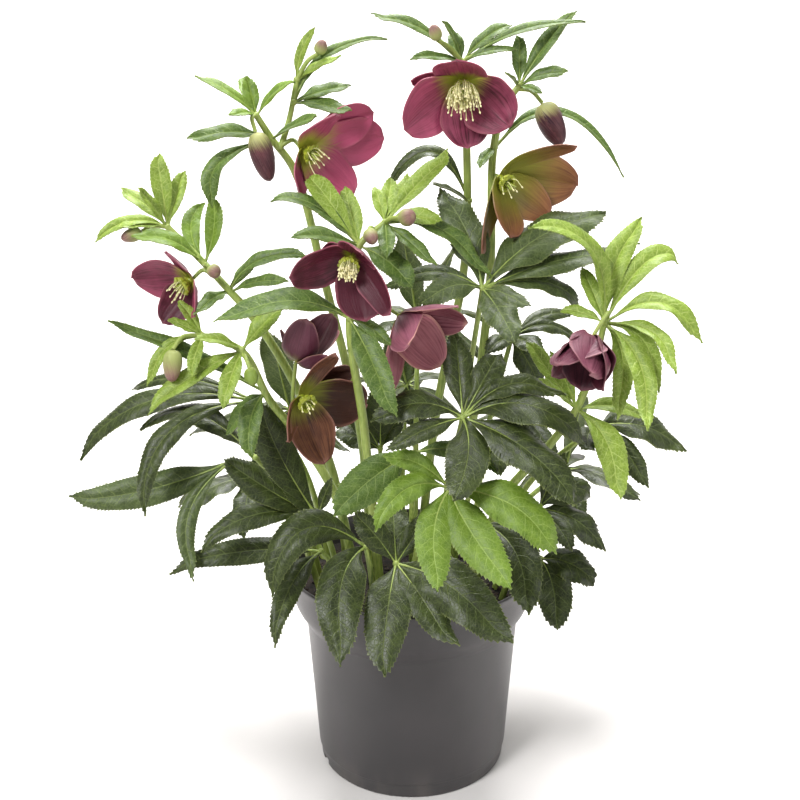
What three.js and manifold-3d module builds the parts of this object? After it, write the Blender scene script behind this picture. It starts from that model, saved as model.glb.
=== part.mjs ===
// A hellebore in its round nursery pot: flower stems, bracts, toothed leaves, blooms and buds.
// Millimetres, +Z up. The origin is the centre of the pot's underside, and -Y is the plant's front.
import * as THREE from "three";
import { mergeVertices } from "three/addons/utils/BufferGeometryUtils.js";
import Module from "manifold-3d";

const wasm = await Module();
wasm.setup();

// ---- driving dimensions ----
const POT = { height: 146, rim: 85, collarFoot: 73.2, body: 72.4, base: 64.2, wall: 2, floor: 3 };
const COLLAR_FOOT_HEIGHT = 109;
const COLLAR = [[78, 116], [81, 125], [83, 138]];
const FOOT_ROUNDING = 0.8;
const RIM_WIDTH = 2.4;
const POT_SIDES = 28;
const NOTCH = { angles: [21, 201], wide: 9, high: 5, deep: 12 };
const SOIL_TOP = 133;
const SOIL_GAP = 0.4;
const SOIL_EDGE = 1.5;
const SOIL_RING = 40;
const SOIL_LUMP = 1.4;
const HOLE_DEPTH = 14;
const HOLE_GAP = 1.1;

const STEM = { radius: 3.2, sides: 5, steps: 8 };
const BRANCH = { radius: 2.2, sides: 4, steps: 2 };
const FLOWER_STALK = { radius: 1.5, sides: 4, steps: 3 };
const LEAF_STALK = { radius: 2.2, sides: 5, steps: 4 };
const STALK_MIDDLE = { along: 0.38, up: 0.58 };

const LEAF_KNOB = 4.2;
const BRACT_KNOB = 4;
const BLADE_THICKNESS = 1.5;
const BLADE_NECK = 1;
const NECK_END = 0.12;
const NECK_SHARE = 0.12;
const TIP_TOOTH = 0.7;
const TOOTH = { length: 0.04, cut: 0.8 };
const LONG_BLADE = 72;
const SHORT_BLADE = 42;
const LEAF_FOLD = -0.12;
const BRACT_FOLD = 0.16;

const SEPAL = { thickness: 1.3, fold: 0.1, roll: 0.16, baseShare: 0.32 };
const SEPAL_STATIONS = [0.2, 0.45, 0.72, 0.94];
const SEPAL_RIBS = [0.35, 0.7];
const SEAT_GAP = 0.4;
const BLOOM_CORE = 3.4;
const CENTRE_CORE = 3;
const NECTARIES = { count: 5, spread: 1.15, length: 6, radius: 1.4 };
const STAMENS = { count: 8, spread: 0.35, outer: 0.3, length: 12, longer: 3, radius: 0.9 };
const CARPEL = { spread: 0.16, length: 12, radius: 1.2 };
const SPIKE_START = 1.4;
const BUD = { around: 10, along: 4, ridges: 5, ridge: 0.1, taper: 0.25 };

const COLOURS = {
  pot: 0x4b4a4b,
  soil: 0x2b211a,
  dark: 0x3c5134,
  medium: 0x557a3e,
  bright: 0x7fae3f,
  stem: 0x86a55a,
  magenta: 0x8e2f52,
  rose: 0xa8586f,
  olive: 0x8e6350,
  wine: 0x5b2436,
  centre: 0xd9d7a0,
};

// ---- leaves: where the stalk stands in the soil, the hub, and a row for each leaflet ----
// A row is: tip x, y, z, width, how far its middle rises, how far its middle leans to +X.
const UPWARD = [0, -0.5, 0.86];
const FORWARD = [0, -0.78, 0.62];

const LEAVES = [
  {
    name: "leaf_middle", foot: [16, -38], hub: [30, -75, 274], face: UPWARD, tone: "dark",
    blades: [
      [-23, -87, 274, 20, 11, 0], [26, -42, 318, 18, 3, 0], [52, -48, 305, 18, 8, 4],
      [89, -62, 280, 15, 16, 0], [104, -82, 261, 28, 16, 0], [94, -117, 236, 29, 6, 5],
      [23, -122, 240, 25, 3, 6], [-14, -110, 266, 14, 3, 0],
    ],
  },
  {
    name: "leaf_high", foot: [28, -4], hub: [42, -45, 345], face: UPWARD, tone: "dark",
    blades: [
      [123, 0, 382, 28, 9, -4], [140, -12, 359, 19, 7, 0], [106, -20, 326, 15, 11, 6],
      [59, -88, 324, 20, 3, 0], [68, -66, 338, 12, 3, 0], [5, -64, 339, 19, 7, 0],
      [16, -8, 398, 24, 4, 4], [-18, -28, 338, 13, 12, 0],
    ],
  },
  {
    name: "leaf_inner", foot: [40, 12], hub: [65, 15, 297], face: UPWARD, tone: "dark",
    blades: [
      [109, 40, 306, 11, 8, 0], [112, 25, 290, 14, 12, 0], [84, -5, 292, 17, 4, 0],
      [60, 42, 324, 15, 2, 0], [48, -4, 292, 14, 4, 0], [86, 6, 262, 18, 4, 0],
    ],
  },
  {
    name: "leaf_inner_left", foot: [-22, 42], hub: [-22, 36, 212], face: UPWARD, tone: "dark",
    blades: [
      [-54, 32, 224, 20, 4, 0], [-45, 34, 250, 20, 2, 0], [-21, 38, 260, 20, 2, 0],
      [-6, 38, 238, 14, 2, 0],
    ],
  },
  {
    name: "leaf_front_bright", foot: [-4, -44], hub: [22, -95, 237], face: FORWARD, tone: "bright",
    blades: [
      [-17, -100, 257, 12, 7, 0], [-22, -125, 223, 16, 13, -3], [17, -140, 193, 21, 3, -7],
      [57, -140, 195, 25, 2, -5], [81, -125, 208, 25, 9, 8],
    ],
  },
  {
    name: "leaf_middle_bright", foot: [0, -26], hub: [0, -72, 250], face: FORWARD, tone: "medium",
    blades: [[-46, -105, 224, 24, 4, 0], [52, -92, 246, 11, 8, 0]],
  },
  {
    name: "leaf_over_rim", foot: [-10, -58], hub: [-10, -62, 172], face: FORWARD, tone: "dark",
    blades: [
      [-19, -118, 125, 28, 9, 0], [25, -106, 136, 22, 8, -3], [57, -110, 140, 32, 11, 2],
      [-37, -54, 203, 17, 3, 0], [-13, -26, 204, 20, 2, 0], [14, -40, 200, 14, 1, 0],
    ],
  },
  {
    name: "leaf_right_upper", foot: [50, 4], hub: [118, -25, 251], face: UPWARD, tone: "dark",
    blades: [
      [174, -20, 232, 24, 8, 3], [146, -50, 218, 16, 2, 4], [109, -60, 246, 14, 2, -4],
      [161, 10, 244, 14, 4, 0],
    ],
  },
  {
    name: "leaf_right_middle", foot: [54, -14], hub: [81, -35, 198], face: UPWARD, tone: "dark",
    blades: [
      [124, -45, 173, 21, 7, 2], [118, -22, 202, 22, 9, 0], [98, -32, 234, 13, 2, 0],
      [100, -62, 181, 14, 2, 2],
    ],
  },
  {
    name: "leaf_right_lower", foot: [56, -32], hub: [83, -40, 165], face: UPWARD, tone: "dark",
    blades: [[118, -52, 153, 24, 6, 0], [90, -78, 134, 24, 5, 3]],
  },
  {
    name: "leaf_front_right", foot: [36, -48], hub: [44, -52, 195], face: FORWARD, tone: "dark",
    blades: [[68, -104, 158, 26, 10, 8], [80, -60, 178, 13, 4, 0]],
  },
  {
    name: "leaf_left_upper", foot: [-54, 14], hub: [-100, -20, 266], face: UPWARD, tone: "dark",
    blades: [
      [-166, -66, 206, 16, 17, -18], [-219, -10, 226, 18, 19, -6], [-188, 12, 260, 10, 13, -6],
    ],
  },
  {
    name: "leaf_left_arch", foot: [-60, -2], hub: [-99, -35, 233], face: UPWARD, tone: "dark",
    blades: [[-175, -8, 243, 18, 21, -3], [-150, 20, 228, 15, 14, 0]],
  },
  {
    name: "leaf_left_long", foot: [-58, -20], hub: [-115, -30, 229], face: FORWARD, tone: "dark",
    blades: [[-219, -40, 206, 21, -6, 0], [-133, -70, 165, 12, 3, -17]],
  },
  {
    name: "leaf_left_lower", foot: [-46, -36], hub: [-60, -45, 197], face: UPWARD, tone: "dark",
    blades: [
      [-94, -38, 270, 24, 4, -6], [-117, -54, 240, 22, 0, -3], [-50, -50, 224, 9, 2, 0],
      [-132, -72, 187, 18, 12, -2], [-82, -44, 216, 13, 3, 0],
    ],
  },
  {
    name: "leaf_left_bottom", foot: [-36, -50], hub: [-58, -44, 172], face: FORWARD, tone: "dark",
    blades: [[-155, -58, 168, 17, 6, 4], [-85, -104, 137, 15, 10, -3]],
  },
  {
    name: "leaf_front_left", foot: [-24, -56], hub: [-29, -58, 182], face: FORWARD, tone: "dark",
    blades: [[-88, -90, 164, 24, 28, -8], [-40, -116, 131, 29, 12, -9]],
  },
];

// The leaves behind follow one rule: leaflets fan out round the hub, the middle one longest.
// Some also have leaflets that stand up or lean in towards the stems.
const BACK_LEAVES = [
  {
    name: "leaf_back_left", foot: [-40, 38], hub: [-88, 80, 226], aim: 140, reach: 72, drop: 34,
    inner: [[-98, 52, 294, 24, 2, 0], [-46, 62, 198, 20, 3, 0]],
  },
  {
    name: "leaf_back", foot: [-8, 56], hub: [-4, 108, 236], aim: 92, reach: 72, drop: 36,
    inner: [[-12, 76, 280, 24, 3, 0], [26, 80, 284, 22, 3, 0], [4, 74, 212, 22, 3, 0]],
  },
  {
    name: "leaf_back_right", foot: [30, 50], hub: [76, 88, 222], aim: 48, reach: 72, drop: 34,
    inner: [[60, 58, 184, 22, 2, 0], [84, 62, 268, 22, 2, 0]],
  },
  {
    name: "leaf_back_high", foot: [2, 14], hub: [4, 52, 300], aim: 80, reach: 72, drop: 26,
    inner: [[-6, 34, 364, 22, 2, 0], [30, 40, 356, 20, 2, 0]],
  },
  {
    name: "leaf_side_left", foot: [-58, 30], hub: [-112, 46, 186], aim: 160, reach: 64, drop: 30,
    inner: [],
  },
  {
    name: "leaf_side_right", foot: [56, 30], hub: [108, 52, 190], aim: 24, reach: 66, drop: 32,
    inner: [[118, 42, 252, 22, 2, 0]],
  },
];
const FAN = { angles: [-104, -52, 0, 52, 104], widest: 104, width: 25, shorter: 0.3, rise: 0.14 };
const FAN_DROP = { even: 0.7, wave: 0.3, waves: 3 };

// ---- flower stems ----
// route: points of the main stem; branches: further routes; sprays: hubs with their bracts;
// stalks: each from its start over a middle point to the bloom or bud that it carries.
const STEMS = [
  {
    name: "stem_left_tall", foot: [-28, 20],
    route: [[-34, 12, 230], [-56, 4, 340], [-72, -6, 410], [-85, -8, 429], [-93, -12, 443]],
    branches: [[[-80, -8, 422], [-74, -5, 440], [-69, -3, 463]]],
    stalks: [
      [[-93, -12, 443], [-95, -17, 442], "bud_left_tall"],
      [[-69, -3, 463], [-62, -3, 474], "bud_left_top"],
      [[-80, -8, 424], [-72, -8, 428], "bloom_left_tall"],
    ],
    sprays: [
      { hub: [-85, -8, 429], blades: [
        [-132, -25, 429, 12, 5, 0], [-118, -22, 391, 12, 4, -16], [-54, -30, 444, 10, 2, 0],
      ] },
      { hub: [-93, -12, 443], blades: [
        [-128, -15, 464, 9, 5, 0], [-99, -5, 465, 9, 1, 0], [-69, -14, 463, 9, 4, 0],
        [-106, -28, 444, 9, 2, 0],
      ] },
      { hub: [-71, -5, 450], blades: [
        [-37, -12, 444, 12, 2, 0], [-37, 2, 459, 11, 2, 0], [-15, 6, 487, 8, 9, -8],
      ] },
      { hub: [-69, -3, 463], blades: [
        [-57, -3, 493, 7, 1, -3], [-42, -8, 476, 9, 2, 0],
      ] },
    ],
  },
  {
    name: "stem_middle_tall", foot: [4, 30],
    route: [[16, 24, 240], [34, 14, 350], [34, 12, 420], [32, 8, 452], [30, 6, 473]],
    branches: [],
    stalks: [
      [[30, 6, 473], [22, -4, 482], "bud_middle_top"],
      [[32, 7, 460], [31, 0, 466], "bloom_middle_tall"],
    ],
    sprays: [
      { hub: [30, 6, 473], blades: [
        [-24, 0, 498, 9, 8, 0], [-1, -7, 476, 8, 2, 0], [24, 16, 490, 9, 1, 0],
        [60, 14, 494, 10, 4, 0], [103, 0, 495, 9, 8, 0],
      ] },
      { hub: [36, 12, 388], blades: [
        [-17, 14, 393, 11, 28, 2],
      ] },
    ],
  },
  {
    name: "stem_middle_branch", foot: [22, 16],
    route: [[40, 8, 240], [50, 8, 340], [50, 4, 420], [56, 4, 446], [65, 5, 459]],
    branches: [],
    stalks: [
      [[65, 5, 457], [72, 4, 456], "bud_middle_right"],
      [[51, 6, 398], [52, 1, 405], "bloom_middle_olive"],
    ],
    sprays: [
      { hub: [65, 5, 459], blades: [
        [65, 14, 488, 9, 2, 0], [98, 12, 502, 12, 4, 0], [93, -4, 467, 11, 3, 0],
      ] },
      { hub: [51, 5, 422], blades: [
        [135, 22, 403, 11, 30, -2],
      ] },
    ],
  },
  {
    name: "stem_front", foot: [-20, -26],
    route: [[-24, -34, 180], [-30, -46, 260], [-37, -56, 326], [-34, -46, 352], [-31, -45, 371],
      [-16, -42, 384]],
    branches: [],
    stalks: [
      [[-16, -42, 384], [-11, -49, 388], "bud_front_upper"],
      [[-21, -43, 377], [-24, -52, 383], "bud_front_lower"],
      [[-34, -47, 350], [-34, -52, 367], "bloom_front"],
      [[-36, -54, 330], [-20, -48, 336], "bloom_front_rose"],
    ],
    sprays: [
      { hub: [-37, -58, 330], blades: [
        [-114, -72, 329, 20, 13, 3], [-11, -96, 281, 17, 5, 0],
      ] },
      { hub: [-31, -45, 371], blades: [
        [-83, -40, 398, 11, 10, 0], [-60, -20, 390, 11, 4, 0], [-69, -64, 380, 13, 3, 0],
        [0, -62, 349, 17, 3, 2],
      ] },
      { hub: [-31, -45, 371], blades: [
        [-62, -32, 410, 15, 7, -3], [-41, -22, 402, 12, 1, 0],
      ] },
      { hub: [-16, -42, 384], blades: [
        [24, -16, 421, 14, 3, 0], [-12, -22, 407, 10, 1, 0],
        [17, -48, 385, 12, 4, 0],
      ] },
      { hub: [-16, -42, 384], blades: [
        [-14, -66, 368, 10, 3, 0], [13, -62, 362, 10, 2, 0], [44, -44, 350, 13, 13, 4],
      ] },
    ],
  },
  {
    name: "stem_left_long", foot: [-42, 2],
    route: [[-52, -6, 210], [-78, -20, 285], [-98, -26, 322], [-112, -28, 340], [-127, -22, 355],
      [-149, -18, 377]],
    branches: [],
    stalks: [
      [[-149, -18, 377], [-157, -20, 378], "bud_far_left"],
      [[-127, -22, 354], [-125, -28, 356], "bud_left_small"],
      [[-120, -25, 347], [-128, -22, 351], "bloom_far_left"],
    ],
    sprays: [
      { hub: [-149, -18, 377], blades: [
        [-155, -8, 420, 12, 2, 0], [-140, -2, 409, 10, 1, 0],
        [-178, -10, 397, 11, 4, 0], [-191, -32, 371, 9, 8, 0],
      ] },
      { hub: [-127, -22, 355], blades: [
        [-167, -34, 372, 13, 8, 0], [-121, -14, 395, 11, 1, 3], [-130, 4, 388, 11, 3, -8],
      ] },
      { hub: [-112, -28, 339], blades: [
        [-62, -34, 363, 10, 8, -6], [-93, -14, 358, 9, 2, 0], [-74, -48, 350, 9, 3, 0],
        [-129, -52, 330, 11, 3, 0],
      ] },
    ],
  },
  {
    name: "stem_left_low", foot: [-36, -18],
    route: [[-48, -28, 200], [-72, -38, 250], [-88, -46, 276], [-103, -45, 306],
      [-127, -42, 315]],
    branches: [],
    stalks: [
      [[-127, -42, 315], [-138, -49, 316], "bud_left_low"],
      [[-103, -45, 304], [-100, -53, 304], "bud_left_inner"],
      [[-72, -38, 250], [-74, -37, 272], "bloom_back_view"],
      [[-66, -36, 240], [-66, -40, 272], "bloom_low_olive"],
    ],
    sprays: [
      { hub: [-127, -42, 315], blades: [
        [-142, -36, 335, 8, 2, 0], [-158, -56, 287, 8, 8, -6],
        [-132, -64, 296, 8, 3, 0],
      ] },
      { hub: [-103, -45, 307], blades: [
        [-128, -62, 318, 11, 3, 0], [-160, -66, 275, 15, 3, 0], [-113, -72, 279, 11, 3, 0],
        [-79, -40, 332, 14, 2, 0],
      ] },
      { hub: [-90, -45, 280], blades: [
        [-183, -42, 322, 11, 4, 0], [-98, -70, 246, 14, 4, -4], [-116, -38, 250, 13, 3, 0],
      ] },
    ],
  },
  {
    name: "stem_right", foot: [38, -16],
    route: [[58, -26, 200], [86, -34, 240], [103, -38, 268], [112, -42, 300], [116, -45, 324]],
    branches: [],
    stalks: [[[116, -45, 322], [116, -56, 333], "bloom_right"]],
    sprays: [
      { hub: [116, -45, 324], blades: [
        [141, -22, 382, 16, 5, -6], [163, -30, 360, 15, 17, 0], [170, -62, 315, 15, 19, 5],
        [150, -82, 303, 10, 9, 10], [146, -62, 285, 11, 10, 8], [134, -92, 271, 14, 6, 10],
        [122, -60, 268, 13, 6, 8],
      ] },
      { hub: [116, -45, 324], blades: [
        [104, -22, 352, 11, 2, 0], [66, -64, 386, 15, 17, 13],
      ] },
      { hub: [103, -38, 266], blades: [
        [124, -72, 220, 19, 6, 7], [144, -44, 262, 11, 6, 0], [72, -26, 307, 12, 5, -4],
      ] },
    ],
  },
];

// ---- blooms: the heart, the way it faces, and a row for each sepal ----
// A row is: tip x, y, z, width, how far its middle bulges backwards.
const BLOOMS = [
  {
    name: "bloom_left_tall", heart: [-65, -14, 423], facing: [0.72, -0.62, -0.3],
    tone: "magenta",
    sepals: [
      [-23, 2, 443, 27, 4], [-17, 10, 427, 30, 4], [-36, -8, 395, 30, 5],
      [-66, -30, 399, 20, 4], [-44, -38, 446, 20, 4],
    ],
  },
  {
    name: "bloom_middle_tall", heart: [30, -14, 462], facing: [0, -0.9, -0.4], tone: "magenta",
    sepals: [
      [-4, -24, 436, 36, 5], [58, -24, 438, 33, 5], [34, -14, 424, 30, 4],
      [25, -44, 476, 31, 4], [0, -18, 463, 12, 2],
    ],
  },
  {
    name: "bloom_middle_olive", heart: [54, -8, 405], facing: [0.55, -0.75, -0.35],
    tone: "olive",
    sepals: [
      [103, 6, 398, 34, 5], [60, -29, 373, 33, 4], [42, -39, 365, 19, 3],
      [97, -30, 426, 12, 9], [85, -2, 381, 24, 4],
    ],
  },
  {
    name: "bloom_front", heart: [-35, -66, 368], facing: [-0.15, -0.88, -0.45],
    tone: "magenta",
    sepals: [
      [-69, -80, 359, 33, 5], [-27, -72, 332, 29, 5], [-13, -88, 340, 18, 5],
      [-27, -98, 376, 24, 5], [-52, -62, 371, 16, 4],
    ],
  },
  {
    name: "bloom_front_rose", heart: [-7, -54, 330], facing: [0.6, -0.68, -0.42], tone: "rose",
    sepals: [
      [33, -52, 325, 20, 4], [17, -60, 301, 31, 5], [-12, -68, 289, 22, 4],
      [-1, -88, 322, 26, 6], [26, -88, 344, 12, 5],
    ],
  },
  {
    name: "bloom_far_left", heart: [-136, -24, 345], facing: [-0.62, -0.7, -0.34],
    tone: "magenta",
    sepals: [
      [-173, -18, 345, 31, 5], [-154, -28, 319, 21, 4], [-131, -50, 329, 14, 4],
      [-147, -40, 365, 14, 3], [-150, 0, 328, 18, 4],
    ],
  },
  {
    name: "bloom_back_view", heart: [-71, -37, 299], facing: [0.2, 0.25, 0.94], tone: "rose",
    sepals: [
      [-47, -14, 312, 22, 8], [-48, -50, 331, 25, 9], [-62, -58, 330, 22, 9],
      [-79, -40, 318, 15, 6], [-51, -53, 306, 15, 7],
    ],
  },
  {
    name: "bloom_low_olive", heart: [-67, -56, 280], facing: [0.55, -0.78, -0.3],
    tone: "olive",
    sepals: [
      [-53, -66, 241, 30, 5], [-28, -34, 268, 31, 3], [-73, -80, 261, 16, 5],
      [-44, -72, 311, 12, 4], [-36, -38, 291, 17, 4],
    ],
  },
  {
    name: "bloom_right", heart: [106, -66, 320], facing: [-0.38, -0.55, -0.74], tone: "wine",
    sepals: [
      [84, -86, 309, 34, 8], [101, -95, 307, 30, 8], [110, -85, 294, 32, 8],
      [100, -70, 289, 32, 8], [83, -71, 298, 32, 8],
    ],
  },
];

// ---- buds: where each starts, its tip, and its width ----
const BUDS = [
  { name: "bud_left_tall", from: [-93, -19, 434], to: [-85, -22, 405], width: 15, tone: "wine" },
  { name: "bud_left_top", from: [-56, -4, 478], to: [-52, -5, 486], width: 8, tone: "rose" },
  { name: "bud_middle_top", from: [15, -10, 486], to: [12, -12, 495], width: 8, tone: "olive" },
  { name: "bud_middle_right", from: [79, 2, 449], to: [91, -3, 424], width: 17, tone: "wine" },
  { name: "bud_front_upper", from: [-6, -54, 389], to: [1, -61, 391], width: 11, tone: "rose" },
  { name: "bud_front_lower", from: [-25, -58, 382], to: [-22, -67, 377], width: 9, tone: "rose" },
  { name: "bud_far_left", from: [-164, -22, 375], to: [-176, -26, 371], width: 9, tone: "rose" },
  { name: "bud_left_small", from: [-121, -32, 354], to: [-117, -39, 352], width: 9, tone: "rose" },
  { name: "bud_left_low", from: [-143, -55, 310], to: [-144, -60, 291], width: 12, tone: "rose" },
  { name: "bud_left_inner", from: [-97, -59, 299], to: [-94, -68, 292], width: 9, tone: "medium" },
];

// ---- helpers that turn geometry into solids and solids into meshes ----
const group = new THREE.Group();
const UP = new THREE.Vector3(0, 0, 1);
const vec = (p) => new THREE.Vector3(...p);
const joined = (solids) => solids.reduce((sum, solid) => sum.add(solid));
const smoothRoute = (points) => new THREE.CatmullRomCurve3(points.map(vec), false, "centripetal");

function solidOf(geometry) {
  const plain = geometry.clone();
  for (const attribute of Object.keys(plain.attributes)) {
    if (attribute !== "position") plain.deleteAttribute(attribute);
  }
  const merged = mergeVertices(plain, 1e-4);
  return new wasm.Manifold(new wasm.Mesh({
    numProp: 3,
    vertProperties: new Float32Array(merged.attributes.position.array),
    triVerts: new Uint32Array(merged.index.array),
  }));
}

function addNode(name, solid, tone, roughness) {
  const { vertProperties, triVerts } = solid.getMesh();
  const geometry = new THREE.BufferGeometry();
  geometry.setAttribute("position", new THREE.BufferAttribute(vertProperties, 3));
  geometry.setIndex(new THREE.BufferAttribute(triVerts, 1));
  geometry.computeVertexNormals();
  const color = COLOURS[tone];
  const material = new THREE.MeshStandardMaterial({ color, roughness, metalness: 0 });
  const mesh = new THREE.Mesh(geometry, material);
  mesh.name = name;
  group.add(mesh);
}

function tube(points, { radius, sides, steps }) {
  const section = new THREE.Shape();
  for (let i = 0; i < sides; i += 1) {
    const angle = (i / sides) * 2 * Math.PI;
    const corner = [radius * Math.cos(angle), radius * Math.sin(angle)];
    if (i === 0) section.moveTo(...corner);
    else section.lineTo(...corner);
  }
  const extrudePath = smoothRoute(points);
  return solidOf(new THREE.ExtrudeGeometry(section, { steps, extrudePath, bevelEnabled: false }));
}

// Turns a geometry that points along +Z to point along a direction, and moves it to a place.
function aimed(geometry, direction, place) {
  const turn = new THREE.Quaternion().setFromUnitVectors(UP, direction);
  return geometry.applyQuaternion(turn).translate(place.x, place.y, place.z);
}

function knob(place, radius, direction = UP) {
  return solidOf(aimed(new THREE.OctahedronGeometry(radius, 0), direction, vec(place)));
}

function turnedSolid(profile) {
  const points = profile.map((point) => new THREE.Vector2(...point));
  return new THREE.LatheGeometry(points, POT_SIDES).rotateX(Math.PI / 2);
}

// ---- blades: a lens of two faces that share their toothed or smooth outline ----
// A profile gives the half width, as a share of the widest, at the share t of the length.
const leafProfile = (t) => Math.pow(Math.sin(Math.PI * Math.pow(t, 0.85)), 0.8);
const sepalProfile = (t) => Math.sqrt(Math.max(0, 1 - Math.pow((t - 0.58) / 0.47, 2)));
const sepalOutline = SEPAL_STATIONS.map((t, i) => [t, i ? sepalProfile(t) : SEPAL.baseShare]);

function toothedOutline(teeth) {
  const points = [[NECK_END, NECK_SHARE]];
  for (let i = 1; i <= teeth; i += 1) {
    const t = NECK_END + ((1 - NECK_END) * i) / (teeth + TIP_TOOTH);
    const after = t + TOOTH.length;
    points.push([t, leafProfile(t)], [after, leafProfile(after) * TOOTH.cut]);
  }
  return points;
}

function bladeCurve(root, tip, bend) {
  const middle = root.clone().lerp(tip, 0.5).addScaledVector(bend, 2);
  return new THREE.QuadraticBezierCurve3(root, middle, tip);
}

// The point at the share t of a blade's length, with its sideways and its upward direction.
function bladeFrame(curve, facing, t) {
  const along = curve.getTangent(t);
  const across = along.clone().cross(facing).normalize();
  return { at: curve.getPoint(t), across, normal: across.clone().cross(along).normalize() };
}

// Triangles between a rib and an edge, in step along the length, up to the tip they share.
function stripBetween(rib, edge, tip) {
  const strip = [];
  let i = 0;
  let j = 0;
  while (i < rib.length - 1 || j < edge.length - 1) {
    const edgeDone = j === edge.length - 1;
    const ribNext = i < rib.length - 1 && (edgeDone || rib[i + 1].t <= edge[j + 1].t);
    strip.push([rib[i].id, edge[j].id, ribNext ? rib[i + 1].id : edge[j + 1].id]);
    if (ribNext) i += 1;
    else j += 1;
  }
  strip.push([rib[i].id, edge[j].id, tip]);
  return strip;
}

function blade({ root, tip, bend, face, width, outline, ribs, thickness, fold, roll = 0 }) {
  const curve = bladeCurve(vec(root), vec(tip), bend);
  const facing = vec(face).normalize();
  const corners = [];
  const addCorner = (point) => corners.push(point.x, point.y, point.z) / 3 - 1;
  const edgePoint = (t, share, side) => {
    const { at, across, normal } = bladeFrame(curve, facing, t);
    const half = share * width / 2;
    at.addScaledVector(across, side * half);
    at.addScaledVector(normal, (fold + side * roll) * half);
    return { t, id: addCorner(at) };
  };
  const ribPoint = (t, lift) => {
    const { at, normal } = bladeFrame(curve, facing, t);
    return { t, id: addCorner(at.addScaledVector(normal, lift * thickness / 2)) };
  };

  const stations = [[0, 2 * BLADE_NECK / width], ...outline];
  const edges = [-1, 1].map((side) => stations.map(([t, share]) => edgePoint(t, share, side)));
  const layers = [1, -1].map((lift) => [
    ribPoint(0, lift / 2),
    ...ribs.map((t) => ribPoint(t, lift)),
  ]);
  const end = addCorner(vec(tip));
  const faces = [];
  layers.forEach((rib, layer) => edges.forEach((edge, side) => {
    const turned = (layer === 0) !== (side === 0);
    for (const [a, b, c] of stripBetween(rib, edge, end)) {
      faces.push(...(turned ? [a, b, c] : [a, c, b]));
    }
  }));
  const [[upper], [lower]] = layers;
  const [[left], [right]] = edges;
  faces.push(left.id, lower.id, upper.id, right.id, upper.id, lower.id);

  const geometry = new THREE.BufferGeometry();
  geometry.setAttribute("position", new THREE.Float32BufferAttribute(corners, 3));
  geometry.setIndex(faces);
  return solidOf(geometry);
}

function leafBlade(hub, [x, y, z, width, rise, lean], face, fold) {
  const tip = [x, y, z];
  const length = vec(hub).distanceTo(vec(tip));
  const teeth = 1 + (length > SHORT_BLADE) + (length > LONG_BLADE);
  const ribCount = Math.max(2, teeth);
  const ribs = Array.from({ length: ribCount }, (_, i) => (i + 1) / (ribCount + 1));
  return blade({
    root: hub, tip, bend: new THREE.Vector3(lean, 0, rise), face, width,
    outline: toothedOutline(teeth), ribs, thickness: BLADE_THICKNESS, fold,
  });
}

// ---- the pot and its soil: outlines are radius and height ----
function innerRadius(z) {
  const outside = [[POT.base, 0], [POT.body, COLLAR_FOOT_HEIGHT], ...COLLAR, [POT.rim, POT.height]];
  const above = outside.findIndex(([, height]) => height > z);
  const [[r0, z0], [r1, z1]] = outside.slice(above - 1, above + 1);
  return r0 + ((r1 - r0) * (z - z0)) / (z1 - z0) - POT.wall;
}

function makePot() {
  const { height, rim, collarFoot, body, base, floor } = POT;
  const inside = [...COLLAR.map(([, z]) => z).reverse(), COLLAR_FOOT_HEIGHT, floor];
  let solid = solidOf(turnedSolid([
    [0, 0], [base - FOOT_ROUNDING, 0], [base, FOOT_ROUNDING], [body, COLLAR_FOOT_HEIGHT - 2],
    [collarFoot, COLLAR_FOOT_HEIGHT], ...COLLAR, [rim, height], [rim - RIM_WIDTH, height - 0.6],
    ...inside.map((z) => [innerRadius(z), z]), [0, floor],
  ]));
  for (const angle of NOTCH.angles) {
    const notch = new THREE.BoxGeometry(NOTCH.deep, NOTCH.wide, NOTCH.high * 2);
    notch.translate(base, 0, 0).rotateZ(THREE.MathUtils.degToRad(angle));
    solid = solid.subtract(solidOf(notch));
  }
  addNode("pot", solid, "pot", 0.55);
}

function makeHole({ foot, lean, radius }) {
  const along = vec(lean).sub(vec(foot)).normalize();
  const wide = radius + HOLE_GAP;
  const hole = new THREE.CylinderGeometry(wide, wide, 2 * HOLE_DEPTH, 5).rotateX(Math.PI / 2);
  return solidOf(aimed(hole, along, vec(foot).addScaledVector(along, HOLE_DEPTH - HOLE_GAP)));
}

function makeSoil(feet) {
  const bottom = POT.floor + SOIL_GAP;
  const sides = [bottom, COLLAR_FOOT_HEIGHT, ...COLLAR.map(([, z]) => z)];
  const soil = turnedSolid([
    [0, bottom],
    ...sides.filter((z) => z < SOIL_TOP).map((z) => [innerRadius(z) - SOIL_GAP, z]),
    [innerRadius(SOIL_TOP) - SOIL_GAP - SOIL_EDGE, SOIL_TOP], [SOIL_RING, SOIL_TOP], [0, SOIL_TOP],
  ]);
  const place = soil.attributes.position;
  for (let i = 0; i < place.count; i += 1) {
    const x = place.getX(i);
    const y = place.getY(i);
    if (place.getZ(i) < SOIL_TOP - 1 || Math.hypot(x, y) > SOIL_RING + 1) continue;
    place.setZ(i, SOIL_TOP + SOIL_LUMP * Math.sin(x * 0.31 + 1) * Math.cos(y * 0.27));
  }
  const solid = feet.reduce((rest, foot) => rest.subtract(makeHole(foot)), solidOf(soil));
  addNode("soil", solid, "soil", 0.95);
}

// ---- leaves ----
// A stalk stands in its hole on the straight first step of its tube, and the hole leans with it.
const feet = [];

function planted([x, y], route, shape) {
  const foot = [x, y, SOIL_TOP - HOLE_DEPTH + HOLE_GAP];
  const points = [foot, ...route];
  const lean = smoothRoute(points).getPointAt(1 / shape.steps).toArray();
  feet.push({ foot, lean, radius: shape.radius });
  return tube(points, shape);
}

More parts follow.
